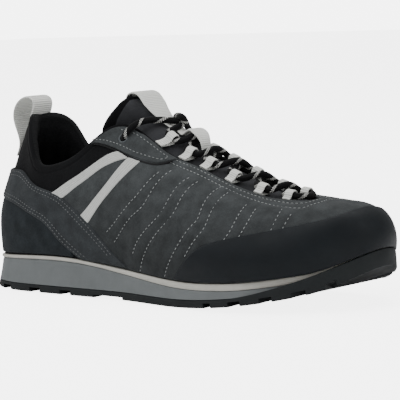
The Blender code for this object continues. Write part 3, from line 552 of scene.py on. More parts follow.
def outer_face(turns, rises):
    """Outer face of the upper at pairs of turn and rise, 0 at the feather line, 1 at the top."""
    turns, rises = np.broadcast_arrays(np.asarray(turns, float), np.asarray(rises, float))
    shape = turns.shape
    turns, rises = turns.ravel(), rises.ravel()
    s = LAST(girth_at(turns))
    foot = s[:, :2] * (SOLE_LENGTH, BALL_WIDTH)
    top = s[:, 2:4] * (SOLE_LENGTH, BALL_WIDTH)
    foot_z = sole_heights(foot[:, 0])[4] + SEAM
    top_z = s[:, 4] * COLLAR_HEIGHT
    zero = np.zeros(len(s))
    up = np.column_stack([zero, zero + LOW_UP, s[:, 6], s[:, 8], zero + 1])
    out = np.column_stack([zero, s[:, 5], s[:, 7], s[:, 9], zero]) * BALL_WIDTH
    weights = PROFILE(rises)
    up = np.sum(weights * up, axis=1)[:, None]
    out = np.sum(weights * out, axis=1)[:, None]
    plan = foot + (top - foot) * up + plan_normals(turns) * out
    height = foot_z + (top_z - foot_z) * up[:, 0]
    return np.column_stack([plan, height]).reshape(*shape, 3)


# Step in turn and rise at which normals are taken
FACE_STEP = 0.02


def outer_normals(turns, rises):
    """Outward normals of the upper's outer face."""
    turns, rises = np.broadcast_arrays(np.asarray(turns, float), np.asarray(rises, float))
    step = FACE_STEP
    along = outer_face(turns + step, rises) - outer_face(turns - step, rises)
    low, high = np.clip(rises - step, 0, 1), np.clip(rises + step, 0, 1)
    up = outer_face(turns, high) - outer_face(turns, low)
    normals = np.cross(along, up)
    return normals / np.linalg.norm(normals, axis=-1, keepdims=True)


def wall_thickness(turns, rises):
    """Wall of the upper: plain in front, padded round the collar."""
    turns, rises = np.broadcast_arrays(np.asarray(turns, float), np.asarray(rises, float))
    turn = np.mod(turns, ROUND)
    turn = np.minimum(turn, ROUND - turn)
    round_heel = 1 - smoothstep(5.4, 7.0, turn)
    high = smoothstep(0.45, 0.8, rises) * (1 - 0.3 * smoothstep(0.88, 1.0, rises))
    return WALL + COLLAR_PAD * round_heel * high


def inner_face(turns, rises, gap=0.0):
    """Inner face of the upper's wall, or a face a gap further in."""
    inward = wall_thickness(turns, rises) + gap
    return outer_face(turns, rises) - outer_normals(turns, rises) * inward[..., None]


def ring_faces(rings, count):
    """Quads between closed rings of count points each."""
    faces = []
    for r in range(rings - 1):
        for i in range(count):
            j = (i + 1) % count
            faces.append((r * count + i, r * count + j, (r + 1) * count + j, (r + 1) * count + i))
    return faces


def cap_faces(start, count):
    """A cap across a ring that starts at the heel and whose sides mirror each other."""
    faces = [(start, start + 1, start + count - 1)]
    for i in range(1, count // 2 - 1):
        faces.append((start + i, start + i + 1, start + count - i - 1, start + count - i))
    half = count // 2
    faces.append((start + half - 1, start + half, start + half + 1))
    return faces


def box_points(centre, size, turn=0.0, slope=0.0):
    """Corners of a box of (length, width, height), turned in plan, that rises by the slope."""
    length, width, height = np.asarray(size) / 2
    corners = []
    for z in (-height, height):
        for x, y in ((-length, -width), (length, -width), (length, width), (-length, width)):
            across = x * math.cos(turn) - y * math.sin(turn)
            forward = x * math.sin(turn) + y * math.cos(turn)
            corners.append(np.asarray(centre) + (across, forward, z + slope * across))
    return corners


BOX_FACES = ((0, 3, 2, 1), (4, 5, 6, 7), (0, 1, 5, 4), (1, 2, 6, 5), (2, 3, 7, 6), (3, 0, 4, 7))


def flare(turns):
    """How far the foot of the sole stands out beyond the feather line."""
    share = LAST(girth_at(turns))[:, 0]
    return TOE_FLARE + (HEEL_FLARE - TOE_FLARE) * (1 - smoothstep(0.2, 0.7, share))


def half_widths(x):
    """Lateral and medial edge of the tread at x from the back of the heel."""
    turns = np.linspace(0, TOE, 200)
    lateral = outline(turns, flare(turns))
    medial = outline(-turns, flare(-turns))
    return np.interp(x, *lateral.T), np.interp(x, *medial.T)


def tread_slope(x, length):
    """Height of the tread at x and its slope over a length there."""
    back, z, front = tread_height(x + np.array([-0.5, 0, 0.5]) * length)
    return z, (front - back) / length


def tread_boxes():
    """Boxes for the side notches between the lugs, and for the cross grooves of the middle."""
    notches = []
    for notch in NOTCHES:
        x = notch.along * SOLE_LENGTH
        z, slope = tread_slope(x, notch.width * SOLE_LENGTH)
        for edge, sign in zip(half_widths(x), (1, -1)):
            reach = abs(edge) * notch.reach
            centre = (x, edge + sign * (reach / 2 - LUG_DEPTH), z)
            size = (notch.width * SOLE_LENGTH, reach, 2 * notch.depth * LUG_DEPTH)
            notches.append(box_points(centre, size, -sign * notch.slant, slope))
    grooves = []
    for along in GROOVES:
        x = along * SOLE_LENGTH
        z, slope = tread_slope(x, GROOVE_WIDTH)
        middle = sum(half_widths(x)) / 2
        size = (GROOVE_WIDTH, GROOVE_REACH * BALL_WIDTH, 1.6 * LUG_DEPTH)
        grooves.append(box_points((x, middle, z), size, slope=slope))
    return notches, grooves


def tongue_sections():
    """Rows of points across the tongue's outer face, from the front of the throat to its top."""
    rows = []
    middle = np.array([-1, -0.5, 0, 0.5, 1])
    for row in THROAT:
        lateral, medial = inner_face([row.turn, -row.turn], [1, 1], TONGUE_GAP)
        mid, half = (lateral + medial) / 2, (medial - lateral) / 2
        crown = np.array([row.along * SOLE_LENGTH, mid[1], row.up * COLLAR_HEIGHT]) - mid
        arch = mid + half * middle[:, None] + crown * (1 - middle[:, None] ** 2)
        under = np.linspace(row.overlap, 1, 3)[:-1]
        left = inner_face(np.full(2, row.turn), under, TONGUE_GAP)
        right = inner_face(np.full(2, -row.turn), under[::-1], TONGUE_GAP)
        rows.append(np.vstack([left, arch, right]))
    spread = np.linspace(-1, 1, 9)[:, None]
    for row in TONGUE_TOP:
        edge = np.array([row.edge_along * SOLE_LENGTH, 0, row.edge_up * COLLAR_HEIGHT])
        half = np.array([0, row.edge_side * BALL_WIDTH, 0])
        crown = np.array([row.along * SOLE_LENGTH, 0, row.up * COLLAR_HEIGHT]) - edge
        rows.append(edge + half * spread + crown * (1 - spread**2))
    return np.array(rows)


def grid_normals(grid):
    """Normals of a grid of points, by the steps to its neighbours."""
    along = np.gradient(grid, axis=0)
    across = np.gradient(grid, axis=1)
    normals = np.cross(across, along)
    return normals / np.linalg.norm(normals, axis=-1, keepdims=True)


def refine(grid, factor):
    """A grid with more rows, read from splines through the given ones."""
    rows, columns = grid.shape[:2]
    read = spline(np.arange(rows), grid.reshape(rows, -1))
    finer = read(np.linspace(0, rows - 1, (rows - 1) * factor + 1))
    return finer.reshape(-1, columns, 3)


def folds(table, steps):
    """Points along a webbing strip's middle line."""
    points = np.array([(f.along * SOLE_LENGTH, 0, f.up * COLLAR_HEIGHT) for f in table])
    return spline(np.arange(len(points)), points)(np.linspace(0, len(points) - 1, steps + 1))


def throat_frame(turn):
    """Middle of the throat at a turn, half its width, its normal and its direction forward."""
    lateral, medial = inner_face([turn, -turn], [1, 1], TONGUE_GAP)
    ahead = inner_face([turn + 0.1, -turn - 0.1], [1, 1], TONGUE_GAP).mean(axis=0)
    mid, half = (lateral + medial) / 2, (medial - lateral) / 2
    forward = (ahead - mid) / np.linalg.norm(ahead - mid)
    normal = np.cross(forward, half)
    return mid, half, normal / np.linalg.norm(normal), forward


CROWN = spline([r.turn for r in reversed(THROAT)], [r[2:] for r in reversed(THROAT)])


def over_tongue(turn, across, lift):
    """A point over the tongue, across from -1 at the lateral to 1 at the medial edge."""
    mid, half, normal, _ = throat_frame(turn)
    along, up = CROWN(turn)[0]
    crown = np.array([along * SOLE_LENGTH, mid[1], up * COLLAR_HEIGHT]) - mid
    return mid + half * across + crown * (1 - across**2) + normal * lift


LOOP_RADIUS = LACE_RADIUS + LACE_GAP + LACE_LOOP_TAPE
LOOP_LIFT = LOOP_RADIUS + TONGUE_GAP
STRIP_LIFT = TONGUE_GAP + WEBBING + STRIP_GAP + LACE_RADIUS
CROSSING_LIFT = 2 * LACE_RADIUS + LACE_GAP


def lace_points():
    """The lace's route: from one top eyelet down through the loops, and back up to the other."""
    turns = (EYELET[0] + 0.2, *LACE_LOOP_TURNS)
    last = len(turns) - 1
    reach = LACE_LOOP_WIDTH / 2 + 2 * LACE_GAP
    route = []
    for way in (-1, 1):
        turn, rise = -way * EYELET[0], EYELET[1]
        at, normal = outer_face(turn, rise), outer_normals(turn, rise)
        off_turn, off_rise = turn * 1.03, rise + 0.07
        resting = outer_face(off_turn, off_rise) + outer_normals(off_turn, off_rise) * 2 * LACE_RADIUS
        leg = [at - normal * 2 * LACE_RADIUS, at + normal * OVERLAY_THICKNESS, resting]
        leg.append(over_tongue(EYELET[0] + 0.3, way * 0.8, STRIP_LIFT + LACE_RADIUS))
        for k in range(1, last + 1):
            side = -way * (-1) ** k
            over = (k % 2 == 0) == (way < 0)
            lift = STRIP_LIFT if k == 1 else LACE_RADIUS + LACE_GAP
            middle = (turns[k - 1] + turns[k]) / 2
            leg.append(over_tongue(middle, 0, lift + (CROSSING_LIFT if over else 0)))
            centre = over_tongue(turns[k], side * LOOP_REACH, LOOP_LIFT)
            forward = throat_frame(turns[k])[3]
            leg += [centre - forward * reach, centre, centre + forward * reach]
        route += leg if way < 0 else leg[::-1]
    return np.array(route)


# Stitch rows of the vamp, by turn and rise, from the throat down
STITCH_ROWS = (
    ((7.98, 0.715), (7.33, 0.50), (6.62, 0.37), (5.68, 0.25)),
    ((8.34, 0.79), (7.71, 0.515), (7.16, 0.375), (5.90, 0.185)),
    ((8.90, 0.795), (8.33, 0.515), (7.86, 0.375), (6.70, 0.13)),
    ((9.16, 0.79), (8.70, 0.52), (8.24, 0.38), (6.76, 0.02)),
    ((9.71, 0.865), (9.40, 0.52), (9.10, 0.405), (7.86, 0.03)),
    ((9.93, 0.825), (9.62, 0.49), (9.33, 0.365), (8.86, 0.22)),
    ((10.46, 0.75), (10.26, 0.51), (10.04, 0.385)),
    ((10.71, 0.72), (10.58, 0.555), (10.39, 0.425)),
    ((11.36, 0.775), (11.23, 0.62), (11.12, 0.51)),
    ((11.59, 0.685), (11.48, 0.60), (11.38, 0.525)),
)
# The double stitch row round the throat
THROAT_ROWS = (
    (
        (8.38, 0.955), (9.0, 0.955), (9.8, 0.950), (10.6, 0.942),
        (11.4, 0.925), (12.0, 0.925), (12.4, 0.962), (12.9, 0.975),
    ),
    (
        (8.25, 0.890), (9.0, 0.890), (9.8, 0.882), (10.6, 0.862),
        (11.4, 0.825), (11.96, 0.812), (12.25, 0.875), (12.9, 0.930),
    ),
)
# Bottoms of the soft flex creases
CREASES = (
    ((10.2, 0.60), (9.6, 0.36), (8.9, 0.16)),
    ((9.3, 0.66), (8.7, 0.36), (7.9, 0.14)),
    ((7.5, 0.60), (7.0, 0.34), (6.2, 0.14)),
)
# Top edge of the vamp's suede as rise at a turn, and its rear edge as turn at a rise
VAMP_TOP = (
    (3.6, 0.615), (4.2, 0.640), (5.0, 0.672), (5.8, 0.672),
    (6.35, 0.700), (7.0, 0.94), (7.3, 0.992), (13.0, 0.992),
)
VAMP_REAR = ((0.015, 5.2), (0.07, 4.95), (0.20, 4.5), (0.36, 4.1), (0.55, 3.7), (0.62, 3.6))


class ShoeColours(bpy.types.PropertyGroup):
    """Colours of the shoe's finishes."""

    suede: bpy.props.FloatVectorProperty(
        name="Suede", description="Grey suede of vamp and quarters",
        default=(0.053, 0.058, 0.060), subtype="COLOR", min=0, max=1,
    )
    band: bpy.props.FloatVectorProperty(
        name="Heel band", description="Darker suede of the heel band",
        default=(0.034, 0.038, 0.041), subtype="COLOR", min=0, max=1,
    )
    counter: bpy.props.FloatVectorProperty(
        name="Heel counter", description="Dark suede of the heel counter",
        default=(0.017, 0.021, 0.024), subtype="COLOR", min=0, max=1,
    )
    rand: bpy.props.FloatVectorProperty(
        name="Rand", description="Rubber of the toe rand",
        default=(0.0040, 0.0063, 0.0086), subtype="COLOR", min=0, max=1,
    )
    softshell: bpy.props.FloatVectorProperty(
        name="Softshell", description="Stretch fabric of the collar",
        default=(0.0040, 0.0042, 0.0050), subtype="COLOR", min=0, max=1,
    )
    lining: bpy.props.FloatVectorProperty(
        name="Lining", description="Mesh inside the shoe",
        default=(0.0085, 0.0088, 0.0095), subtype="COLOR", min=0, max=1,
    )
    tongue: bpy.props.FloatVectorProperty(
        name="Tongue", description="Fabric of the tongue",
        default=(0.042, 0.043, 0.047), subtype="COLOR", min=0, max=1,
    )
    strap: bpy.props.FloatVectorProperty(
        name="Straps", description="Pale microfibre of the side straps",
        default=(0.60, 0.61, 0.59), subtype="COLOR", min=0, max=1,
    )
    webbing: bpy.props.FloatVectorProperty(
        name="Webbing", description="Light woven webbing",
        default=(0.84, 0.85, 0.81), subtype="COLOR", min=0, max=1,
    )
    thread: bpy.props.FloatVectorProperty(
        name="Thread", description="Light stitching thread",
        default=(0.30, 0.315, 0.315), subtype="COLOR", min=0, max=1,
    )
    midsole: bpy.props.FloatVectorProperty(
        name="Midsole", description="Grey foam of the midsole",
        default=(0.140, 0.153, 0.156), subtype="COLOR", min=0, max=1,
    )
    strip: bpy.props.FloatVectorProperty(
        name="Strip", description="Light foam strip over the midsole",
        default=(0.52, 0.51, 0.46), subtype="COLOR", min=0, max=1,
    )
    outsole: bpy.props.FloatVectorProperty(
        name="Outsole", description="Rubber of the outsole",
        default=(0.013, 0.0155, 0.0165), subtype="COLOR", min=0, max=1,
    )
    lace: bpy.props.FloatVectorProperty(
        name="Lace", description="Dark cord of the lace",
        default=(0.0030, 0.0030, 0.0035), subtype="COLOR", min=0, max=1,
    )
    fleck: bpy.props.FloatVectorProperty(
        name="Flecks", description="Light tracer threads in the lace",
        default=(0.88, 0.88, 0.84), subtype="COLOR", min=0, max=1,
    )


class ShoeSizes(bpy.types.PropertyGroup):
    """Sizes of the shoe's surface detail."""

    pitch: bpy.props.FloatProperty(
        name="Stitch pitch", description="Distance from stitch to stitch",
        default=2.8 * MM, min=1 * MM, unit="LENGTH",
    )
    stitch: bpy.props.FloatProperty(
        name="Stitch length", description="Length of one stitch",
        default=1.9 * MM, min=0.4 * MM, unit="LENGTH",
    )
    thread: bpy.props.FloatProperty(
        name="Thread radius", description="Radius of the stitching thread",
        default=0.29 * MM, min=0.1 * MM, unit="LENGTH",
    )
    press: bpy.props.FloatProperty(
        name="Stitch press", description="How deep a stitch row presses the suede",
        default=0.62 * MM, min=0, unit="LENGTH",
    )
    crease: bpy.props.FloatProperty(
        name="Crease depth", description="Depth of the soft flex creases",
        default=0.55 * MM, min=0, unit="LENGTH",
    )
    suede: bpy.props.FloatProperty(
        name="Suede thickness", description="Height of the suede over the inner shoe",
        default=1.05 * MM, min=0.2 * MM, unit="LENGTH",
    )
    rib: bpy.props.FloatProperty(
        name="Webbing rib", description="Distance from rib to rib of the webbing",
        default=1.3 * MM, min=0.4 * MM, unit="LENGTH",
    )


class ShoeView(bpy.types.PropertyGroup):
    """The studio camera."""

    azimuth: bpy.props.FloatProperty(
        name="Azimuth", description="Angle round the shoe, 0 looks at its outer side",
        default=math.radians(41), subtype="ANGLE",
    )
    elevation: bpy.props.FloatProperty(
        name="Elevation", description="Angle above the floor",
        default=math.radians(5.95), subtype="ANGLE",
    )
    roll: bpy.props.FloatProperty(
        name="Roll", description="Tilt of the picture",
        default=math.radians(-2.4), subtype="ANGLE",
    )
    distance: bpy.props.FloatProperty(
        name="Distance", description="Camera to the middle of the shoe",
        default=1.3, min=0.1, unit="LENGTH",
    )
    lens: bpy.props.FloatProperty(
        name="Lens", description="Focal length",
        default=190.6, min=10, unit="CAMERA",
    )
    aside: bpy.props.FloatProperty(
        name="Aim aside", description="Aim right of the middle of the shoe",
        default=9.6 * MM, unit="LENGTH",
    )
    above: bpy.props.FloatProperty(
        name="Aim above", description="Aim above the middle of the shoe",
        default=7.7 * MM, unit="LENGTH",
    )


def colours():
    return bpy.context.scene.shoe_colours


def toned(colour, times):
    """A colour made lighter or darker."""
    return tuple(c * times for c in colour)


def sizes():
    return bpy.context.scene.shoe_sizes


def over_last(turns, rises, lift):
    """Points on the upper's outer face, lifted along its normals."""
    return outer_face(turns, rises) + outer_normals(turns, rises) * np.reshape(lift, (-1, 1))


def eased(share):
    """A share from 0 to 1 with its steps close together at both ends."""
    return 0.5 - 0.5 * np.cos(np.pi * share)


def hump(at, middle, width):
    """A soft hump, 1 at its middle and about a third a width away from it."""
    return np.exp(-(((at - middle) / width) ** 2))


def lengths_along(path):
    """Distance along a path to each of its points."""
    return np.append(0, np.cumsum(np.linalg.norm(np.diff(path, axis=0), axis=1)))


def row_points(row, side, step):
    """Turns and rises along a stitch row, about a step apart."""
    knots = np.array(row, float)
    readings = np.arange(240)
    read = spline(np.arange(len(knots)), knots)(np.linspace(0, len(knots) - 1, len(readings)))
    length = lengths_along(outer_face(read[:, 0], read[:, 1]))
    count = max(2, int(length[-1] / step))
    at = np.interp(np.linspace(0, length[-1], count + 1), length, readings)
    turns = np.interp(at, readings, read[:, 0]) * side
    return turns, np.interp(at, readings, read[:, 1])


def both_sides(rows):
    """Every row on the lateral and on the medial side."""
    return [(row, side) for row in rows for side in (1, -1)]


def nearest_to(rows):
    """A function that gives points' distances to rows of turn and rise."""
    places = []
    for row, side in both_sides(rows):
        turns, rises = row_points(row, side, 1 * MM)
        places.append(outer_face(turns, rises))
    places = np.vstack(places)
    tree = kdtree.KDTree(len(places))
    for index, place in enumerate(places):
        tree.insert(Vector(place), index)
    tree.balance()
    return lambda points: np.array([tree.find(Vector(point))[2] for point in points])


def deselect():
    """Leaves edit mode and selects nothing."""
    if bpy.context.object and bpy.context.object.mode != "OBJECT":
        bpy.ops.object.mode_set(mode="OBJECT")
    bpy.ops.object.select_all(action="DESELECT")


def make_active(piece):
    """Selects one piece alone."""
    deselect()
    piece.select_set(True)
    bpy.context.view_layer.objects.active = piece


def edit(piece, *steps):
    """Runs edit-mode operators on all of a piece."""
    make_active(piece)
    bpy.ops.object.mode_set(mode="EDIT")
    bpy.ops.mesh.select_all(action="SELECT")
    for operator, settings in steps:
        operator(**settings)
    bpy.ops.object.mode_set(mode="OBJECT")


def finish_with(piece, kind, **settings):
    """Adds a modifier, sets it and applies it."""
    modifier = piece.modifiers.new(kind.lower(), kind)
    for key, value in settings.items():
        setattr(modifier, key, value)
    make_active(piece)
    bpy.ops.object.modifier_apply(modifier=modifier.name)


def read_points(mesh):
    """The points of a mesh as rows of x, y and z."""
    points = np.empty(len(mesh.vertices) * 3)
    mesh.vertices.foreach_get("co", points)
    return points.reshape(-1, 3)


def set_uv(mesh, u, v, points, columns, rows):
    """Sets the UV map to metres along the grid's columns and rows."""
    order = np.lexsort((np.round(u * columns), np.round(v * rows)))
    grid = points[order].reshape(rows + 1, columns + 1, 3)
    wide = np.linalg.norm(np.diff(grid, axis=1), axis=2).sum(axis=1).max()
    long = np.linalg.norm(np.diff(grid, axis=0), axis=2).sum(axis=0).max()
    corners = np.empty(len(mesh.loops), int)
    mesh.loops.foreach_get("vertex_index", corners)
    places = np.column_stack([u[corners] * wide, v[corners] * long])
    mesh.uv_layers.active.data.foreach_set("uv", places.ravel())


def laid_sheet(name, columns, rows, lay, outwards=True):
    """A grid laid where lay(u, v) says, with u and v from 0 to 1. Returns it with u and v."""
    deselect()
    bpy.ops.mesh.primitive_grid_add(x_subdivisions=columns, y_subdivisions=rows, size=1)
    piece = bpy.context.object
    piece.name = piece.data.name = name
    flat = read_points(piece.data)
    u, v = np.clip(flat[:, 0] + 0.5, 0, 1), np.clip(flat[:, 1] + 0.5, 0, 1)
    points = lay(u, v)
    set_uv(piece.data, u, v, points, columns, rows)
    piece.data.vertices.foreach_set("co", (points - (HEEL_CENTRE, 0, 0)).ravel())
    piece.data.update()
    if outwards:
        face_outwards(piece)
    return piece, u, v


def face_outwards(piece):
    """Turns a sheet over if its faces look at the middle of the shoe."""
    mesh = piece.data
    normals = np.empty(len(mesh.polygons) * 3)
    mesh.polygons.foreach_get("normal", normals)
    centres = np.empty(len(mesh.polygons) * 3)
    mesh.polygons.foreach_get("center", centres)
    normals, centres = normals.reshape(-1, 3), centres.reshape(-1, 3)
    away = centres - (centres * (1, 0, 0) + (0, 0, 0.4 * COLLAR_HEIGHT))
    if np.sum(normals * away) < 0:
        edit(piece, (bpy.ops.mesh.flip_normals, {}))


def round_edge(share, least):
    """Height near an edge, from least at share 0 to 1 at share 1, along a quarter round."""
    share = np.clip(share, 0, 1)
    return least + (1 - least) * np.sqrt(share * (2 - share))


def rounded(lay, u, v, radius):
    """Height over a sheet, low along its edges and 1 a radius away from them."""
    here = lay(u, v)
    edges = [lay(u, v * 0), lay(u, v * 0 + 1), lay(u * 0, v), lay(u * 0 + 1, v)]
    near = np.min([np.linalg.norm(here - edge, axis=1) for edge in edges], axis=0)
    return round_edge(near / radius, 0.1)


def thicken(piece, thickness, weights, offset=1.0):
    """Gives a sheet its thickness, shared out by weights."""
    group = piece.vertex_groups.new(name="height")
    for index, weight in enumerate(weights):
        group.add([index], float(weight), "REPLACE")
    finish_with(piece, "SOLIDIFY", thickness=thickness, offset=offset, use_rim=True, vertex_group="height")
    piece.vertex_groups.clear()


def smooth(piece, degrees):
    """Shades a piece smooth, apart from edges sharper than the angle."""
    make_active(piece)
    bpy.ops.object.shade_smooth_by_angle(angle=math.radians(degrees))


def hand_over(piece, material, slot_name, *nodes):
    """Gives a piece its finish and its place in the frame."""
    if not piece.data.materials:
        piece.data.materials.append(material)
    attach(piece, "root")
    if nodes:
        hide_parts(*nodes)
    return piece


def overlay_lay(edges, base, side, whole):
    """Where an overlay lies, between its edges on the last; a whole one is mirrored at heel or toe."""
    rows = np.array(edges)
    if whole:
        at_heel = rows[0, 0] == 0
        centre = rows[0, 0] if at_heel else rows[-1, 0]
        mirrored = rows * (-1, 1, -1, 1) + (2 * centre, 0, 2 * centre, 0)
        rows = np.vstack([mirrored[:0:-1], rows] if at_heel else [rows, mirrored[-2::-1]])
    read = spline(np.arange(len(rows)), rows)

    def lay(u, v):
        at = read((u if whole else eased(u)) * (len(rows) - 1))
        across = eased(v)
        turns = at[:, 0] + (at[:, 2] - at[:, 0]) * across
        rises = np.clip(at[:, 1] + (at[:, 3] - at[:, 1]) * across, 0.004, 0.985)
        return over_last(turns * side, rises, base)

    return lay


def overlay_sheet(name, edges, columns, rows, base, thickness, side=1, whole=False, radius=1.0 * MM):
    """An overlay with round edges."""
    lay = overlay_lay(edges, base, side, whole)
    piece, u, v = laid_sheet(name, columns, rows, lay)
    thicken(piece, thickness, rounded(lay, u, v, radius))
    smooth(piece, 50)
    return piece


def stitches(name, rows, lift, material, pitch=None, length=None):
    """Small round stitches along rows of turn and rise, joined in one piece."""
    pitch, length = pitch or sizes().pitch, length or sizes().stitch
    thread = sizes().thread
    deselect()
    bpy.ops.mesh.primitive_uv_sphere_add(segments=6, ring_count=4, radius=1)
    piece = bpy.context.object
    piece.name = piece.data.name = name
    shape = read_points(piece.data)
    faces = [tuple(polygon.vertices) for polygon in piece.data.polygons]
    points, made = [], []
    for row, side in rows:
        turns, rises = row_points(row, side, pitch)
        places = over_last(turns, rises, lift)
        normals = outer_normals(turns, rises)
        ahead = np.gradient(places, axis=0)
        ahead /= np.linalg.norm(ahead, axis=1, keepdims=True)
        across = np.cross(normals, ahead)
        for place, a, b, c in zip(places, ahead, across, normals):
            made += [tuple(len(points) * len(shape) + i for i in face) for face in faces]
            scaled = shape * (length / 2, thread, thread)
            points.append(place + scaled @ np.array([a, b, c]))
    mesh = bpy.data.meshes.new(name)
    mesh.from_pydata((np.vstack(points) - (HEEL_CENTRE, 0, 0)).tolist(), [], made)
    mesh.shade_smooth()
    piece.data = mesh
    return hand_over(piece, material, "webbing")


def tube(name, path, radius, sides):
    """A round cord along a path, closed at both ends."""
    ahead = np.gradient(path, axis=0)
    ahead /= np.linalg.norm(ahead, axis=1, keepdims=True)
    normal = np.cross(ahead[0], (0.3, 0.2, 1))
    frames = []
    for direction in ahead:
        normal = normal - direction * np.dot(normal, direction)
        normal /= np.linalg.norm(normal)
        frames.append((normal, np.cross(direction, normal)))
    first = np.array([f[0] for f in frames])
    second = np.array([f[1] for f in frames])
    columns = len(path) - 1

    def lay(u, v):
        at = np.round(u * columns).astype(int)
        angle = math.tau * v[:, None]
        return path[at] + (first[at] * np.cos(angle) + second[at] * np.sin(angle)) * radius

    piece, _, _ = laid_sheet(name, columns, sides, lay, outwards=False)
    edit(
        piece,
        (bpy.ops.mesh.remove_doubles, {"threshold": WELD}),
        (bpy.ops.mesh.fill_holes, {"sides": 0}),
        (bpy.ops.mesh.select_all, {"action": "SELECT"}),
        (bpy.ops.mesh.normals_make_consistent, {"inside": False}),
    )
    smooth(piece, 60)
    return piece


def band(name, path, across, widths, thickness, columns):
    """A woven band along a path, with ribs across it."""
    across = np.broadcast_to(np.asarray(across, float), path.shape)
    widths = np.broadcast_to(widths, len(path))
    length = lengths_along(path)
    rows = max(8, int(length[-1] / (sizes().rib / 5)))
    stops = np.linspace(0, length[-1], rows + 1)
    read = spline(length, np.column_stack([path, across, widths]))(stops)
    ahead = np.gradient(read[:, :3], axis=0)
    normals = np.cross(ahead, read[:, 3:6])
    normals /= np.linalg.norm(normals, axis=1, keepdims=True)

    def lay(u, v):
        at = np.round(v * rows).astype(int)
        return read[at, :3] + read[at, 3:6] * ((u - 0.5) * read[at, 6])[:, None]

    piece, u, v = laid_sheet(name, columns, rows, lay, outwards=False)
    ribs = 0.84 + 0.16 * np.cos(math.tau * v * length[-1] / sizes().rib)
    thicken(piece, thickness, np.clip(ribs * round_edge(np.minimum(u, 1 - u) * 8, 0.45), 0, 1), offset=0.0)
    edit(piece, (bpy.ops.mesh.normals_make_consistent, {"inside": False}))
    smooth(piece, 50)
    return piece


def add_node(tree, kind, inputs=None, **settings):
    """A shader node with its settings and the constant values of its inputs."""
    made = tree.nodes.new(kind)
    for key, value in settings.items():
        setattr(made, key, value)
    for key, value in (inputs or {}).items():
        made.inputs[key].default_value = value
    return made


def plain_finish(name, colour, roughness):
    """A Principled material of one colour. Returns it with its tree and its shader."""
    material = bpy.data.materials.new(name)
    material.use_nodes = True
    tree = material.node_tree
    shader = tree.nodes["Principled BSDF"]
    shader.inputs["Base Color"].default_value = (*colour, 1)
    shader.inputs["Roughness"].default_value = roughness
    return material, tree, shader


def set_sheen(shader, weight, roughness=0.45):
    """The dull gloss of cloth and suede."""
    shader.inputs["Sheen Weight"].default_value = weight
    shader.inputs["Sheen Roughness"].default_value = roughness
    shader.inputs["Specular IOR Level"].default_value = 0.12


def shaded(tree, value, colour, low, high, stops=(0.0, 1.0)):
    """A colour from low to high times the given one, as a value goes from stop to stop."""
    ramp = add_node(tree, "ShaderNodeValToRGB")
    for stop, place, times in zip(ramp.color_ramp.elements, stops, (low, high)):
        stop.position = place
        stop.color = (*[min(1, c * times) for c in colour], 1)
    tree.links.new(value, ramp.inputs["Fac"])
    return ramp.outputs["Color"]


def vary(tree, shader, where, low, high, colour, scale, detail, stops=(0.35, 0.65)):
    """Colour that changes from low to high times the given one, in soft patches."""
    patched = shaded(tree, grain(tree, where, scale, detail, 0.6), colour, low, high, stops)
    tree.links.new(patched, shader.inputs["Base Color"])
    return patched


def relief(tree, shader, height, strength, distance, below=None):
    """A bump from a height, over another bump."""
    bump = add_node(tree, "ShaderNodeBump", {"Strength": strength, "Distance": distance})
    tree.links.new(height, bump.inputs["Height"])
    if below is not None:
        tree.links.new(below.outputs["Normal"], bump.inputs["Normal"])
    tree.links.new(bump.outputs["Normal"], shader.inputs["Normal"])
    return bump


def grain(tree, where, scale, detail, roughness=0.65):
    """Noise of a scale."""
    noise = add_node(tree, "ShaderNodeTexNoise", {"Scale": scale, "Detail": detail, "Roughness": roughness})
    tree.links.new(where, noise.inputs["Vector"])
    return noise.outputs["Fac"]


def mapped(tree, value, source, target=(0.0, 1.0)):
    """A value carried over from a source range to a target range, and kept inside it."""
    ends = {"From Min": source[0], "From Max": source[1], "To Min": target[0], "To Max": target[1]}
    span = add_node(tree, "ShaderNodeMapRange", ends)
    tree.links.new(value, span.inputs["Value"])
    return span.outputs["Result"]


def rough_patches(tree, shader, where, low, high, scale):
    """Roughness that changes from low to high in patches."""
    patches = mapped(tree, grain(tree, where, scale, 3.0), (0.3, 0.7), (low, high))
    tree.links.new(patches, shader.inputs["Roughness"])


def object_place(tree):
    """The place on the piece, in metres."""
    return add_node(tree, "ShaderNodeTexCoord").outputs["Object"]


def suede_finish(name, colour, sheen=0.05, low=1.0):
    """Napped suede: brushed patches, a short nap and a dry sheen, and painted shade that makes it low times
    as light by the sole.
    """
    material, tree, shader = plain_finish(name, colour, 0.9)
    where = object_place(tree)
    set_sheen(shader, sheen)
    brushed = vary(tree, shader, where, 0.76, 1.24, colour, 105.0, 8.0, (0.35, 0.67))
    fine = grain(tree, where, 1500.0, 3.0)
    napped = add_node(tree, "ShaderNodeMix", {"Factor": 0.48}, data_type="RGBA", blend_type="OVERLAY")
    tree.links.new(brushed, napped.inputs["A"])
    tree.links.new(fine, napped.inputs["B"])
    parts = add_node(tree, "ShaderNodeSeparateXYZ")
    tree.links.new(where, parts.inputs["Vector"])
    # Painted shade: the colour darkens towards the sole, from full at 75 mm up to low times as light at 28
    # mm
    light = mapped(tree, parts.outputs["Z"], (28 * MM, 75 * MM), (low, 1.0))
    darker = add_node(tree, "ShaderNodeVectorMath", operation="SCALE")
    tree.links.new(napped.outputs["Result"], darker.inputs[0])
    tree.links.new(light, darker.inputs["Scale"])
    tree.links.new(darker.outputs["Vector"], shader.inputs["Base Color"])
    rough_patches(tree, shader, where, 0.78, 0.98, 120.0)
    coarse = relief(tree, shader, grain(tree, where, 260.0, 4.0), 0.35, 0.5 * MM)
    relief(tree, shader, fine, 0.45, 0.25 * MM, coarse)
    return material


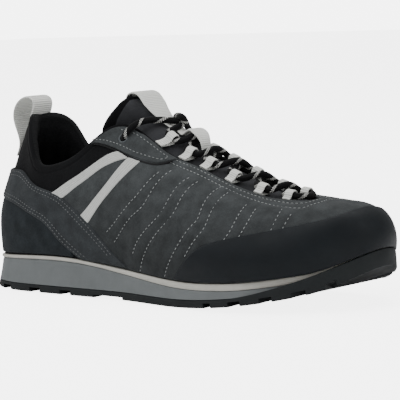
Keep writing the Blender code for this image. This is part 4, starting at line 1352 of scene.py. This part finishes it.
def rubber_finish(name, colour, roughness, scale=900.0, strength=0.25):
    """Moulded rubber with a fine satin skin and faint scuffs."""
    material, tree, shader = plain_finish(name, colour, roughness)
    where = object_place(tree)
    vary(tree, shader, where, 0.86, 1.14, colour, 45.0, 5.0)
    rough_patches(tree, shader, where, roughness - 0.08, roughness + 0.10, 60.0)
    shader.inputs["Specular IOR Level"].default_value = 0.22
    relief(tree, shader, grain(tree, where, scale, 2.0), strength, 0.15 * MM)
    return material


def foam_finish(name, colour):
    """Moulded foam: smooth, slightly mottled, with a fine skin."""
    material, tree, shader = plain_finish(name, colour, 0.6)
    where = object_place(tree)
    vary(tree, shader, where, 0.93, 1.06, colour, 60.0, 4.0)
    rough_patches(tree, shader, where, 0.50, 0.66, 150.0)
    relief(tree, shader, grain(tree, where, 1400.0, 2.0), 0.22, 0.12 * MM)
    return material


def knit_finish(name, colour, scale, strength, sheen=0.03):
    """Stretch knit: rows of small round stitches with a dull sheen."""
    material, tree, shader = plain_finish(name, colour, 0.85)
    where = object_place(tree)
    set_sheen(shader, sheen, 0.5)
    vary(tree, shader, where, 0.82, 1.2, colour, 70.0, 4.0)
    cells = add_node(tree, "ShaderNodeTexVoronoi", {"Scale": scale, "Randomness": 0.35})
    tree.links.new(where, cells.inputs["Vector"])
    weave = relief(tree, shader, cells.outputs["Distance"], strength, 0.35 * MM)
    relief(tree, shader, grain(tree, where, 120.0, 3.0), 0.25, 0.8 * MM, weave)
    return material


def math_node(tree, operation, first, second=None):
    """The result of an operation on sockets or numbers."""
    made = add_node(tree, "ShaderNodeMath", operation=operation)
    for socket, value in ((made.inputs[0], first), (made.inputs[1], second)):
        if value is None:
            continue
        if isinstance(value, (int, float)):
            socket.default_value = value
        else:
            tree.links.new(value, socket)
    return made.outputs[0]


def uv_parts(tree):
    """The UV map's two parts, in metres."""
    place = add_node(tree, "ShaderNodeTexCoord").outputs["UV"]
    parts = add_node(tree, "ShaderNodeSeparateXYZ")
    tree.links.new(place, parts.inputs["Vector"])
    return parts.outputs["X"], parts.outputs["Y"]


def webbing_finish(name, colour):
    """Woven webbing: ribs across the band, warp threads along it, with painted shade in the grooves and
    painted highlight on the ribs.
    """
    material, tree, shader = plain_finish(name, colour, 0.8)
    set_sheen(shader, 0.08, 0.5)
    across, along = uv_parts(tree)
    rib = math_node(tree, "COSINE", math_node(tree, "MULTIPLY", along, math.tau / sizes().rib))
    warp = math_node(tree, "SINE", math_node(tree, "MULTIPLY", across, math.tau / (0.7 * MM)))
    cloth = math_node(tree, "ADD", rib, math_node(tree, "MULTIPLY", warp, 0.4))
    height = mapped(tree, cloth, (-1.4, 1.4))
    # Painted shade and highlight: the colour follows the weave's height, darker in its grooves and lighter
    # on its ribs
    tree.links.new(shaded(tree, height, colour, 0.80, 1.10), shader.inputs["Base Color"])
    relief(tree, shader, height, 0.6, 0.25 * MM)
    return material


def lace_finish(name, colour, fleck):
    """Braided cord with short light tracer threads that wind round it."""
    material, tree, shader = plain_finish(name, colour, 0.75)
    set_sheen(shader, 0.05, 0.5)
    along, around = uv_parts(tree)

    def times(value, factor):
        return math_node(tree, "MULTIPLY", value, factor)

    turn = times(around, 1 / (math.tau * LACE_RADIUS))

    def wave(value):
        return math_node(tree, "SINE", times(value, math.tau))

    def winding(length, turns, way="ADD"):
        """Windings of a thread: one each length along the cord, and turns for once round it."""
        return math_node(tree, way, times(along, 1 / length), times(turn, turns))

    braid = times(wave(winding(2.1 * MM, 3.0)), wave(winding(2.1 * MM, 3.0, "SUBTRACT")))
    group = math_node(tree, "FRACT", winding(12.0 * MM, 1.0))
    inside = math_node(tree, "LESS_THAN", group, 0.20)
    crossed = times(wave(winding(1.3 * MM, 9.0)), wave(winding(1.9 * MM, 7.0, "SUBTRACT")))
    mask = times(inside, math_node(tree, "GREATER_THAN", crossed, 0.18))
    mix = add_node(tree, "ShaderNodeMix", data_type="RGBA")
    mix.inputs["A"].default_value = (*colour, 1)
    mix.inputs["B"].default_value = (*fleck, 1)
    tree.links.new(mask, mix.inputs["Factor"])
    tree.links.new(mix.outputs["Result"], shader.inputs["Base Color"])
    relief(tree, shader, braid, 0.5, 0.25 * MM)
    return material


def build_shell():
    """The stretch fabric inner shoe with its padded collar and lining, one closed wall."""
    # Outside up to the rim, over the rim, inside down to the floor, and closed under the floor
    rim_from, rim_to, floor_from = 0.56, 0.66, 0.985

    def lay(u, v):
        turns = u * ROUND
        rises = np.interp(v, [0, rim_from, rim_to, floor_from], [0, 1, 1, 0])
        normals = outer_normals(turns, rises)
        near = np.minimum(turns, ROUND - turns)
        collar = 1 - smoothstep(5.2, 6.2, near)
        seam = 0.5 * MM * hump(rises, 0.925, 0.012) * collar
        folds = 1.0 * MM * np.sin(near * 8.0) * collar * hump(rises, 0.55, 0.25)
        outer = outer_face(turns, rises) - normals * seam[:, None]
        inner = inner_face(turns, rises) + normals * folds[:, None]
        angle = np.clip((v - rim_from) / (rim_to - rim_from), 0, 1) * math.pi
        share = (0.5 + 0.5 * np.cos(angle))[:, None]
        points = outer * share + inner * (1 - share)
        points[:, 2] += np.sin(angle) * (0.42 * wall_thickness(turns, rises))
        points[:, 2] -= CORNER_DROP * hump(near, 1.5, 0.6) * smoothstep(0.72, 1.0, rises)
        foot = outer_face(turns, 0 * turns)
        under = v > floor_from
        points[under] = foot[under]
        flat = v >= floor_from - 0.004
        points[flat, 2] = foot[flat, 2]
        return points

    piece, _, v = laid_sheet("softshell_bootie", ROUND * 18, 130, lay)
    shell = knit_finish("softshell_knit", colours().softshell, 2600.0, 0.35, 0.03)
    lining = knit_finish("lining_mesh", colours().lining, 900.0, 0.8, 0.02)
    piece.data.materials.append(shell)
    piece.data.materials.append(lining)
    middle = (rim_from + rim_to) / 2
    for polygon in piece.data.polygons:
        polygon.material_index = int(v[list(polygon.vertices)].mean() > middle)
    edit(piece, (bpy.ops.mesh.remove_doubles, {"threshold": FINE_WELD}))
    smooth(piece, 60)
    hand_over(piece, shell, "upper_suede", "upper")


def vamp_lay(u, v, from_stitch, from_crease):
    """Where the suede lies: from the heel bands round the toe, feather line to throat."""
    side = np.where(u < 0.5, 1.0, -1.0)
    share = 1 - np.abs(2 * u - 1)
    rear = VAMP_REAR[-1][1]
    top = np.interp(rear + share * (TOE - rear), *np.array(VAMP_TOP).T)
    rises = FEATHER_RISE + (top - FEATHER_RISE) * eased(v)
    start = np.interp(rises, *np.array(VAMP_REAR).T)
    turns = start + share * (TOE - start)
    face = outer_face(turns * side, rises)
    sunk = sizes().press * hump(from_stitch(face), 0, 1.7 * MM)
    dip = sizes().crease * hump(from_crease(face), 0, 5.0 * MM)
    swell = VAMP_SWELL * np.sin(turns * 3.1 + rises * 9.0) * np.sin(rises * 14.0 - turns * 1.7)
    return over_last(turns * side, rises, np.maximum(OVERLAY_BASE + swell - sunk - dip, VAMP_DEEPEST))


def build_vamp():
    """The suede of vamp and quarters, pressed in along its stitch rows."""
    rows = STITCH_ROWS + THROAT_ROWS
    from_stitch, from_crease = nearest_to(rows), nearest_to(CREASES)
    piece, u, v = laid_sheet("suede_vamp", 480, 88, lambda u, v: vamp_lay(u, v, from_stitch, from_crease))
    share = np.minimum(np.minimum(v, 1 - v) / 0.10, np.minimum(u, 1 - u) / 0.004)
    thicken(piece, sizes().suede, round_edge(share, 0.1))
    smooth(piece, 50)
    # The vamp's suede gets painted shade, down to 0.55 times as light by the sole
    suede = suede_finish("grey_suede", colours().suede, low=0.55)
    hand_over(piece, suede, "upper_suede")
    thread = foam_finish("light_thread", colours().thread)
    stitches("vamp_stitches", both_sides(rows), sizes().suede - VAMP_STITCH_SINK, thread)


def row_across(edges, share):
    """A row of turn and rise, a share of the way from an overlay's lower to its upper edge."""
    return tuple(
        (e.low_turn + (e.high_turn - e.low_turn) * share, e.low_rise + (e.high_rise - e.low_rise) * share)
        for e in edges
    )


def build_heel():
    """The heel counter and the heel band over its top edge, with double stitch rows."""
    under_band = tuple(
        e._replace(high_rise=e.high_rise + 0.05, high_turn=e.high_turn + 0.12 * (e.high_turn > 2.5))
        for e in HEEL_COUNTER
    )
    counter = overlay_sheet(
        "heel_counter_suede", under_band, 220, 40, OVERLAY_BASE, COUNTER_SUEDE, whole=True
    )
    suede = suede_finish("counter_suede", colours().counter, 0.06)
    hand_over(counter, suede, "counter_suede", "heel_counter")
    lowered = tuple(e._replace(low_rise=max(0.008, e.low_rise - 0.012)) for e in HEEL_BAND)
    strip = overlay_sheet(
        "heel_band_suede", lowered, 300, 40, OVERLAY_BASE, BAND_SUEDE, whole=True, radius=1.2 * MM
    )
    hand_over(strip, suede_finish("band_suede", colours().band, 0.08), "band_suede", "heel_band")
    rows = [row_across(HEEL_BAND[:-1], share) for share in (0.07, 0.18, 0.82, 0.93)]
    thread = foam_finish("grey_thread", toned(colours().thread, 0.42))
    stitches(
        "heel_band_stitches", both_sides(rows), BAND_STITCH_LIFT, thread, pitch=2.6 * MM, length=1.7 * MM
    )


def build_rand():
    """The rubber rand round the toe."""
    rand = overlay_sheet(
        "toe_rand_rubber", TOE_RAND, 360, 56, OVERLAY_BASE, RAND_RUBBER, whole=True, radius=1.4 * MM
    )
    rubber = rubber_finish("rand_rubber", colours().rand, 0.50, 1300.0, 0.22)
    hand_over(rand, rubber, "rand_rubber", "toe_rand")


def build_straps():
    """The two pale straps that run from the heel band up to the eyestay, on each side."""
    pale = webbing_finish("pale_microfibre", colours().strap)
    straps = (("rear", STRAP_REAR, REAR_STRAP), ("front", STRAP_FRONT, FRONT_STRAP))
    for label, side in (("lateral", 1), ("medial", -1)):
        for place, edges, thickness in straps:
            name = f"pale_strap_{place}_{label}"
            strap = overlay_sheet(name, edges, 120, 24, STRAP_BASE, thickness, side, radius=0.8 * MM)
            hand_over(strap, pale, "pale_strap", f"strap_{place}_{label}")


def punch_eyelet(panel, middle, turned):
    """Cuts the eyelet's hole through a panel."""
    deselect()
    bpy.ops.mesh.primitive_cylinder_add(
        vertices=24, radius=EYELET_RADIUS, depth=9 * MM, location=middle, rotation=turned
    )
    punch = bpy.context.object
    finish_with(panel, "BOOLEAN", operation="DIFFERENCE", object=punch, solver="EXACT")
    bpy.data.objects.remove(punch)


def eyelet_rim(name, middle, turned):
    """The pressed ring round an eyelet's hole."""
    deselect()
    bpy.ops.mesh.primitive_torus_add(
        major_segments=28, minor_segments=10, major_radius=EYELET_RADIUS + 0.25 * MM,
        minor_radius=EYELET_RIM_RADIUS, location=middle, rotation=turned,
    )
    rim = bpy.context.object
    rim.name = rim.data.name = name
    bpy.ops.object.transform_apply(location=True, rotation=True, scale=True)
    smooth(rim, 60)
    return rim


def build_eyestays():
    """The leaf-shaped eyestay panels with a dark edge cord that is partly black edging and partly painted
    shadow, stitches and a punched eyelet.
    """
    suede = suede_finish("panel_suede", toned(colours().suede, 0.95))
    # Dark cord colour for the panel's lower edge: partly black edging, partly painted shadow under the edge
    edging_and_shadow = rubber_finish("edging_and_shadow_cord", colours().softshell, 0.6)
    metal = rubber_finish("eyelet_rim", toned(colours().band, 3.0), 0.38)
    thread = foam_finish("panel_thread", toned(colours().thread, 0.8))
    tip = (8.12, 0.90)
    low_stitches = [(e.low_turn, e.low_rise + 0.045) for e in EYESTAY[:-1]] + [tip]
    top_stitches = [(6.6, 0.93), (7.2, 0.93), (7.8, 0.93), (8.12, 0.925)]
    for label, side in (("lateral", 1), ("medial", -1)):
        panel = overlay_sheet("eyestay_panel_" + label, EYESTAY, 150, 48, PANEL_BASE, PANEL_SUEDE, side)
        turn, rise = side * EYELET[0], EYELET[1]
        middle = Vector(over_last(np.array([turn]), np.array([rise]), 1.6 * MM)[0])
        middle -= Vector((HEEL_CENTRE, 0, 0))
        normal = Vector(outer_normals(turn, rise).ravel())
        turned = normal.to_track_quat("Z", "Y").to_euler()
        punch_eyelet(panel, middle, turned)
        hand_over(panel, suede, "panel_suede", "eyestay_" + label)
        rim = eyelet_rim("eyelet_rim_" + label, middle + normal * 0.25 * MM, turned)
        hand_over(rim, metal, "outsole_rubber")
        # A dark cord under the panel's lower edge: partly its black edging, partly painted shadow cast by
        # the edge
        turns, rises = row_points([(e.low_turn, e.low_rise - 0.012) for e in EYESTAY], side, 1.2 * MM)
        route = over_last(turns, rises, EDGING_SHADOW_LIFT)
        hand_over(tube("eyestay_edging_and_shadow_" + label, route, EDGING_SHADOW_RADIUS, 10), edging_and_shadow, "tongue_fabric")
        stitches("eyestay_stitches_" + label, [(low_stitches, side)], PANEL_STITCH_LIFT, thread)
        stitches("eyestay_top_stitches_" + label, [(top_stitches, side)], PANEL_STITCH_LIFT, thread)


# Steps of the fine tongue for one of the coarse
TONGUE_STEPS = 8


def fine_tongue():
    """The tongue's outer face as a fine grid of points."""
    rows = refine(tongue_sections(), TONGUE_STEPS)
    turned = refine(np.transpose(rows, (1, 0, 2)), TONGUE_STEPS)
    return np.transpose(turned, (1, 0, 2))


def build_tongue():
    """The padded tongue with its bound edge."""
    grid = fine_tongue()
    rows, columns = grid.shape[0] - 1, grid.shape[1] - 1

    def lay(u, v):
        return grid[np.round(v * rows).astype(int), np.round(u * columns).astype(int)]

    piece, u, v = laid_sheet("padded_tongue", columns, rows, lay)
    share = np.minimum(np.minimum(u, 1 - u) * 14, np.minimum(v * 20, (1 - v) * 30))
    thicken(piece, TONGUE_THICKNESS, round_edge(share, 0.2), offset=-1.0)
    smooth(piece, 60)
    edging = knit_finish("tongue_edging", colours().softshell, 2200.0, 0.4)
    piece.data.materials.append(knit_finish("tongue_knit", colours().tongue, 1700.0, 0.4, 0.05))
    piece.data.materials.append(edging)
    for polygon in piece.data.polygons:
        corners = np.array(polygon.vertices) % len(u)
        across, up = u[corners].mean(), v[corners].mean()
        polygon.material_index = int(min(across, 1 - across) < 0.06 or up > 0.96)
    hand_over(piece, edging, "tongue_fabric", "tongue")
    under = grid - grid_normals(grid) * (0.4 * TONGUE_THICKNESS)
    free = TONGUE_STEPS * len(THROAT)
    path = np.vstack([under[free:, 0], under[-1, 1:-1], under[: free - 1 : -1, -1]])[::2]
    length = lengths_along(path)
    path = spline(length, path)(np.linspace(0, length[-1], 160))
    binding = tube("tongue_binding", path, BINDING_RADIUS, 12)
    hand_over(binding, knit_finish("binding_tape", colours().softshell, 1500.0, 0.5), "tongue_fabric")


def build_webbing():
    """The pull loop on the heel, and the tongue loop that runs on into the lace keeper."""
    cloth = webbing_finish("light_webbing", colours().webbing)
    seam = over_last(np.zeros(2), np.array(PULL_LOOP_SEAM), OVERLAY_GAP + WEBBING / 2)
    path = np.vstack([seam, folds(PULL_LOOP, 28)])
    pull = band("pull_loop_webbing", path, (0, 1, 0), PULL_LOOP_WIDTH, WEBBING, columns=20)
    hand_over(pull, cloth, "webbing", "pull_loop")
    seat = TONGUE_GAP + WEBBING / 2
    keeper = [over_tongue(row.turn, 0, seat + row.lift * 2 * LACE_RADIUS) for row in KEEPER]
    loop = folds(TONGUE_LOOP, 24)
    path = np.vstack([keeper, loop]) * (1, 0, 1)
    widths = [row.width * KEEPER_WIDTH for row in KEEPER]
    widths += list(np.interp(np.arange(len(loop)), [-1, 7], [widths[-1], TONGUE_LOOP_WIDTH]))
    strip = band("tongue_loop_webbing", path, (0, 1, 0), widths, WEBBING, columns=22)
    hand_over(strip, cloth, "webbing", "tongue_loop")


def build_lace_loops():
    """The webbing loops at the throat's edges that carry the lace."""
    cloth = webbing_finish("loop_webbing", colours().webbing)
    for label, side in (("lateral", -1), ("medial", 1)):
        for k, turn in enumerate(LACE_LOOP_TURNS, 1):
            centre = over_tongue(turn, side * LOOP_REACH, LOOP_LIFT)
            forward = throat_frame(turn)[3]
            edge = (outer_face(-side * turn, 1) + inner_face(-side * turn, 1)) / 2
            inward = centre - edge
            inward -= forward * np.dot(inward, forward)
            inward /= np.linalg.norm(inward)
            raised = np.cross(inward, forward)
            raised = raised if raised[2] > 0 else -raised
            tip = edge + inward * WALL / 2 + raised * WALL / 2
            radius = LOOP_RADIUS - LACE_LOOP_TAPE / 2
            arc = [
                centre + inward * radius * math.cos(a) + raised * radius * math.sin(a)
                for a in np.radians(np.linspace(-125, 125, 25))
            ]
            path = np.vstack([tip - raised * 0.35 * MM, arc, tip + raised * 0.6 * MM])
            name = f"lace_loop_webbing_{label}_{k}"
            loop = band(name, path, forward, LACE_LOOP_WIDTH, LACE_LOOP_TAPE, columns=12)
            hand_over(loop, cloth, "webbing", f"lace_loop_{label}_{k}")


def build_lace():
    """The lace through its eyelets and loops, one cord from end to end."""
    route = lace_points()
    length = lengths_along(route)
    path = spline(length, route)(np.linspace(0, length[-1], int(length[-1] / (1.1 * MM))))
    cord = tube("lace_cord", path, LACE_RADIUS, 16)
    hand_over(cord, lace_finish("lace_braid", colours().lace, colours().fleck), "lace_cord", "lace")


def linked_mesh(name, points, faces):
    """A new object in the scene from points and faces."""
    mesh = bpy.data.meshes.new(name)
    mesh.from_pydata((points - (HEEL_CENTRE, 0, 0)).tolist(), [], faces)
    piece = bpy.data.objects.new(name, mesh)
    bpy.context.scene.collection.objects.link(piece)
    return piece


def ring_body(name, rings, turns):
    """A closed body from stacked rings of (spread, heights) round the feather line."""
    count = len(turns)
    points = [np.column_stack([outline(turns, spread), height]) for spread, height in rings]
    faces = ring_faces(len(rings), count)
    faces += cap_faces(0, count) + cap_faces((len(rings) - 1) * count, count)
    piece = linked_mesh(name, np.vstack(points), faces)
    edit(
        piece,
        (bpy.ops.mesh.remove_doubles, {"threshold": FINE_WELD}),
        (bpy.ops.mesh.normals_make_consistent, {"inside": False}),
    )
    return piece


def cut_tread(outsole):
    """Cuts the side notches and the cross grooves into the outsole."""
    for boxes in tread_boxes():
        points = np.array([point for box in boxes for point in box])
        faces = [tuple(8 * i + v for v in face) for i in range(len(boxes)) for face in BOX_FACES]
        cutter = linked_mesh("tread_cutter", points, faces)
        finish_with(outsole, "BOOLEAN", operation="DIFFERENCE", object=cutter, solver="EXACT")
        bpy.data.objects.remove(cutter)


def build_sole():
    """The lugged outsole, the foam midsole, the light strip over it and the footbed."""
    turns = np.arange(ROUND * 12) / 12
    spread = flare(turns)
    along = outline(turns, 0)[:, 0]
    tread, seat, outsole_top, midsole_top, feather = sole_heights(along)
    wrap = outsole_top - seat
    lip = LIP_THICKNESS * smoothstep(0, 2 * MM, wrap)
    edge = spread * EDGE_SHARE
    inside = edge - lip
    clear = inside - SEAM * smoothstep(0, 0.5 * MM, wrap)
    outsole = ring_body(
        "lugged_outsole",
        [
            (spread - 2.4 * TREAD_BEVEL, tread),
            (spread - TREAD_BEVEL, tread),
            (spread - 0.35 * TREAD_BEVEL, tread + 0.35 * TREAD_BEVEL),
            (spread, tread + TREAD_BEVEL),
            (spread * (EDGE_SHARE + 0.1), (tread + TREAD_BEVEL + outsole_top) / 2),
            (edge, outsole_top - EDGE_ROUND),
            (edge - EDGE_ROUND * 0.5, outsole_top),
            (inside, outsole_top),
            (inside, seat),
        ],
        turns,
    )
    cut_tread(outsole)
    smooth(outsole, 32)
    rubber = rubber_finish("outsole_rubber", colours().outsole, 0.62, 1100.0, 0.35)
    hand_over(outsole, rubber, "outsole_rubber", "outsole")

    midsole_top = np.maximum(midsole_top, seat + LEAST_STRIP)
    rear = 1 - smoothstep(0.35, 0.65, along / SOLE_LENGTH)
    midsole_top = midsole_top + 0.28 * rear * (feather - midsole_top)
    rings = []
    for t in (0, 0.03, 0.1, 0.25, 0.4, 0.55, 0.7, 0.85, 0.94, 0.985, 1.0):
        corner = MIDSOLE_ROUND * (max(0, t - 0.85) / 0.15) ** 3
        height = seat + SEAM + (midsole_top - seat - SEAM) * t
        rings.append((clear - spread * (0.8 * t - 0.2 * t * t) - corner, height))
    midsole = ring_body("foam_midsole", rings, turns)
    smooth(midsole, 50)
    hand_over(midsole, foam_finish("midsole_foam", colours().midsole), "midsole_foam", "midsole")

    top = np.maximum(feather, midsole_top + LEAST_STRIP)
    narrow = clear - spread * NECK_SHARE
    rings = []
    for t in (0, 0.08, 0.2, 0.4, 0.6, 0.8, 0.92, 1.0):
        swell = STRIP_SWELL * math.sqrt(max(0, 1 - (2 * t - 1) ** 2)) + 0.1 * MM
        rings.append((narrow + swell, midsole_top + SEAM * 0.3 + (top - midsole_top - SEAM * 0.3) * t))
    strip = ring_body("light_foam_strip", rings, turns)
    smooth(strip, 60)
    hand_over(strip, foam_finish("strip_foam", colours().strip), "strip_foam", "welt_strip")

    inset = -(WALL + 2 * SEAM)
    floor = top + SEAM
    bed = ring_body(
        "foam_footbed",
        [
            (inset - INSOLE_BEVEL, floor),
            (inset, floor + INSOLE_THICKNESS * 0.3),
            (inset, floor + INSOLE_THICKNESS * 0.7),
            (inset - 0.5 * INSOLE_BEVEL, floor + INSOLE_THICKNESS * 0.92),
            (inset - 2 * INSOLE_BEVEL, floor + INSOLE_THICKNESS),
        ],
        turns,
    )
    smooth(bed, 50)
    cloth = knit_finish("footbed_cloth", toned(colours().lining, 1.8), 800.0, 0.7)
    hand_over(bed, cloth, "insole_fabric", "insole")


def build_floor():
    """The pale floor, brighter to the camera than to the shoe."""
    deselect()
    bpy.ops.mesh.primitive_plane_add(size=12, location=(0, 0, -0.6 * MM))
    floor = bpy.context.object
    floor.name = "studio_floor"
    material, tree, shader = plain_finish("pale_floor", (0.93, 0.93, 0.93), 0.9)
    shader.inputs["Specular IOR Level"].default_value = 0.1
    shader.inputs["Emission Color"].default_value = (1, 1, 1, 1)
    seen = add_node(tree, "ShaderNodeLightPath").outputs["Is Camera Ray"]
    glow = math_node(tree, "MULTIPLY", seen, FLOOR_GLOW)
    tree.links.new(glow, shader.inputs["Emission Strength"])
    floor.data.materials.append(material)


def build_sky():
    """White surroundings, brighter to the camera than to the shoe."""
    world = bpy.data.worlds.new("studio")
    world.use_nodes = True
    tree = world.node_tree
    background = tree.nodes["Background"]
    background.inputs["Color"].default_value = (1, 1, 1, 1)
    seen = add_node(tree, "ShaderNodeLightPath").outputs["Is Camera Ray"]
    bright = math_node(tree, "ADD", math_node(tree, "MULTIPLY", seen, SKY_GLOW), SKY_LIGHT)
    tree.links.new(bright, background.inputs["Strength"])
    bpy.context.scene.world = world


def build_lamps(middle):
    """Soft round lamps that look at the middle of the shoe."""
    for lamp in LAMPS:
        light = bpy.data.lights.new(lamp.name, "AREA")
        light.shape = "DISK"
        light.size = lamp.size
        light.energy = lamp.watts
        holder = bpy.data.objects.new(lamp.name, light)
        holder.location = lamp.place
        holder.rotation_euler = (middle - Vector(lamp.place)).to_track_quat("-Z", "Y").to_euler()
        bpy.context.scene.collection.objects.link(holder)


def build_camera(middle):
    """The camera at the photo's angle."""
    view = bpy.context.scene.shoe_view
    a, e, r = view.azimuth, view.elevation, view.roll
    ahead = Vector((-math.sin(a) * math.cos(e), math.cos(a) * math.cos(e), -math.sin(e)))
    right = Vector((math.cos(a), math.sin(a), 0))
    up = right.cross(ahead)
    right, up = right * math.cos(r) + up * math.sin(r), up * math.cos(r) - right * math.sin(r)
    place = middle - ahead * view.distance
    ahead = (middle + right * view.aside + up * view.above - place).normalized()
    right = ahead.cross(up).normalized()
    up = right.cross(ahead)
    camera = bpy.data.objects.new("studio_camera", bpy.data.cameras.new("studio_camera"))
    camera.data.lens = view.lens
    camera.data.sensor_width = 36
    camera.data.clip_start = 0.05
    bpy.context.scene.collection.objects.link(camera)
    camera.matrix_world = Matrix((
        (right.x, up.x, -ahead.x, place.x),
        (right.y, up.y, -ahead.y, place.y),
        (right.z, up.z, -ahead.z, place.z),
        (0, 0, 0, 1),
    ))
    bpy.context.scene.camera = camera


def build_stage():
    """Pale floor, white surroundings, soft lights and the camera."""
    build_floor()
    build_sky()
    middle = Vector(SHOE_MIDDLE)
    build_lamps(middle)
    build_camera(middle)


class SHOE_OT_shell(bpy.types.Operator):
    """Build the stretch fabric inner shoe with its padded collar"""

    bl_idname = "shoe.shell"
    bl_label = "Inner Shoe"
    bl_options = {"REGISTER", "UNDO"}

    def execute(self, context):
        build_shell()
        return {"FINISHED"}


class SHOE_OT_vamp(bpy.types.Operator):
    """Build the grey suede of vamp and quarters with its stitch rows"""

    bl_idname = "shoe.vamp"
    bl_label = "Suede Vamp"
    bl_options = {"REGISTER", "UNDO"}

    def execute(self, context):
        build_vamp()
        return {"FINISHED"}


class SHOE_OT_heel(bpy.types.Operator):
    """Build the heel counter and the heel band"""

    bl_idname = "shoe.heel"
    bl_label = "Heel"
    bl_options = {"REGISTER", "UNDO"}

    def execute(self, context):
        build_heel()
        return {"FINISHED"}


class SHOE_OT_rand(bpy.types.Operator):
    """Build the rubber rand round the toe"""

    bl_idname = "shoe.rand"
    bl_label = "Toe Rand"
    bl_options = {"REGISTER", "UNDO"}

    def execute(self, context):
        build_rand()
        return {"FINISHED"}


class SHOE_OT_straps(bpy.types.Operator):
    """Build the pale straps of both sides"""

    bl_idname = "shoe.straps"
    bl_label = "Side Straps"
    bl_options = {"REGISTER", "UNDO"}

    def execute(self, context):
        build_straps()
        return {"FINISHED"}


class SHOE_OT_eyestays(bpy.types.Operator):
    """Build the leaf-shaped eyestay panels with their eyelets"""

    bl_idname = "shoe.eyestays"
    bl_label = "Eyestays"
    bl_options = {"REGISTER", "UNDO"}

    def execute(self, context):
        build_eyestays()
        return {"FINISHED"}


class SHOE_OT_tongue(bpy.types.Operator):
    """Build the padded tongue with its bound edge"""

    bl_idname = "shoe.tongue"
    bl_label = "Tongue"
    bl_options = {"REGISTER", "UNDO"}

    def execute(self, context):
        build_tongue()
        return {"FINISHED"}


class SHOE_OT_webbing(bpy.types.Operator):
    """Build the pull loop, the tongue loop and the lace keeper"""

    bl_idname = "shoe.webbing"
    bl_label = "Webbing Loops"
    bl_options = {"REGISTER", "UNDO"}

    def execute(self, context):
        build_webbing()
        return {"FINISHED"}


class SHOE_OT_lace_loops(bpy.types.Operator):
    """Build the webbing loops that carry the lace"""

    bl_idname = "shoe.lace_loops"
    bl_label = "Lace Loops"
    bl_options = {"REGISTER", "UNDO"}

    def execute(self, context):
        build_lace_loops()
        return {"FINISHED"}


class SHOE_OT_lace(bpy.types.Operator):
    """Build the lace through its eyelets and loops"""

    bl_idname = "shoe.lace"
    bl_label = "Lace"
    bl_options = {"REGISTER", "UNDO"}

    def execute(self, context):
        build_lace()
        return {"FINISHED"}


class SHOE_OT_sole(bpy.types.Operator):
    """Build outsole, midsole, foam strip and footbed"""

    bl_idname = "shoe.sole"
    bl_label = "Sole"
    bl_options = {"REGISTER", "UNDO"}

    def execute(self, context):
        build_sole()
        return {"FINISHED"}


class SHOE_OT_stage(bpy.types.Operator):
    """Set up the floor, lights and camera"""

    bl_idname = "shoe.stage"
    bl_label = "Studio"
    bl_options = {"REGISTER", "UNDO"}

    def execute(self, context):
        build_stage()
        return {"FINISHED"}


OPERATORS = (
    SHOE_OT_sole,
    SHOE_OT_shell,
    SHOE_OT_vamp,
    SHOE_OT_heel,
    SHOE_OT_rand,
    SHOE_OT_straps,
    SHOE_OT_eyestays,
    SHOE_OT_tongue,
    SHOE_OT_webbing,
    SHOE_OT_lace_loops,
    SHOE_OT_lace,
    SHOE_OT_stage,
)


class SHOE_PT_build(bpy.types.Panel):
    """Sizes, colours and building steps of the shoe"""

    bl_idname = "SHOE_PT_build"
    bl_label = "Approach Shoe"
    bl_space_type = "VIEW_3D"
    bl_region_type = "UI"
    bl_category = "Shoe"

    def draw(self, context):
        layout = self.layout
        layout.use_property_split = True
        for group in (context.scene.shoe_sizes, context.scene.shoe_colours, context.scene.shoe_view):
            box = layout.box()
            for name in group.__annotations__:
                box.prop(group, name)
        for operator in OPERATORS:
            layout.operator(operator.bl_idname)


CLASSES = (ShoeColours, ShoeSizes, ShoeView, *OPERATORS, SHOE_PT_build)


def register():
    for cls in CLASSES:
        bpy.utils.register_class(cls)
    bpy.types.Scene.shoe_colours = bpy.props.PointerProperty(type=ShoeColours)
    bpy.types.Scene.shoe_sizes = bpy.props.PointerProperty(type=ShoeSizes)
    bpy.types.Scene.shoe_view = bpy.props.PointerProperty(type=ShoeView)


def unregister():
    del bpy.types.Scene.shoe_view
    del bpy.types.Scene.shoe_sizes
    del bpy.types.Scene.shoe_colours
    for cls in reversed(CLASSES):
        bpy.utils.unregister_class(cls)


def main():
    register()
    for operator in OPERATORS:
        group, name = operator.bl_idname.split(".")
        getattr(getattr(bpy.ops, group), name)()


if __name__ == "__main__":
    main()
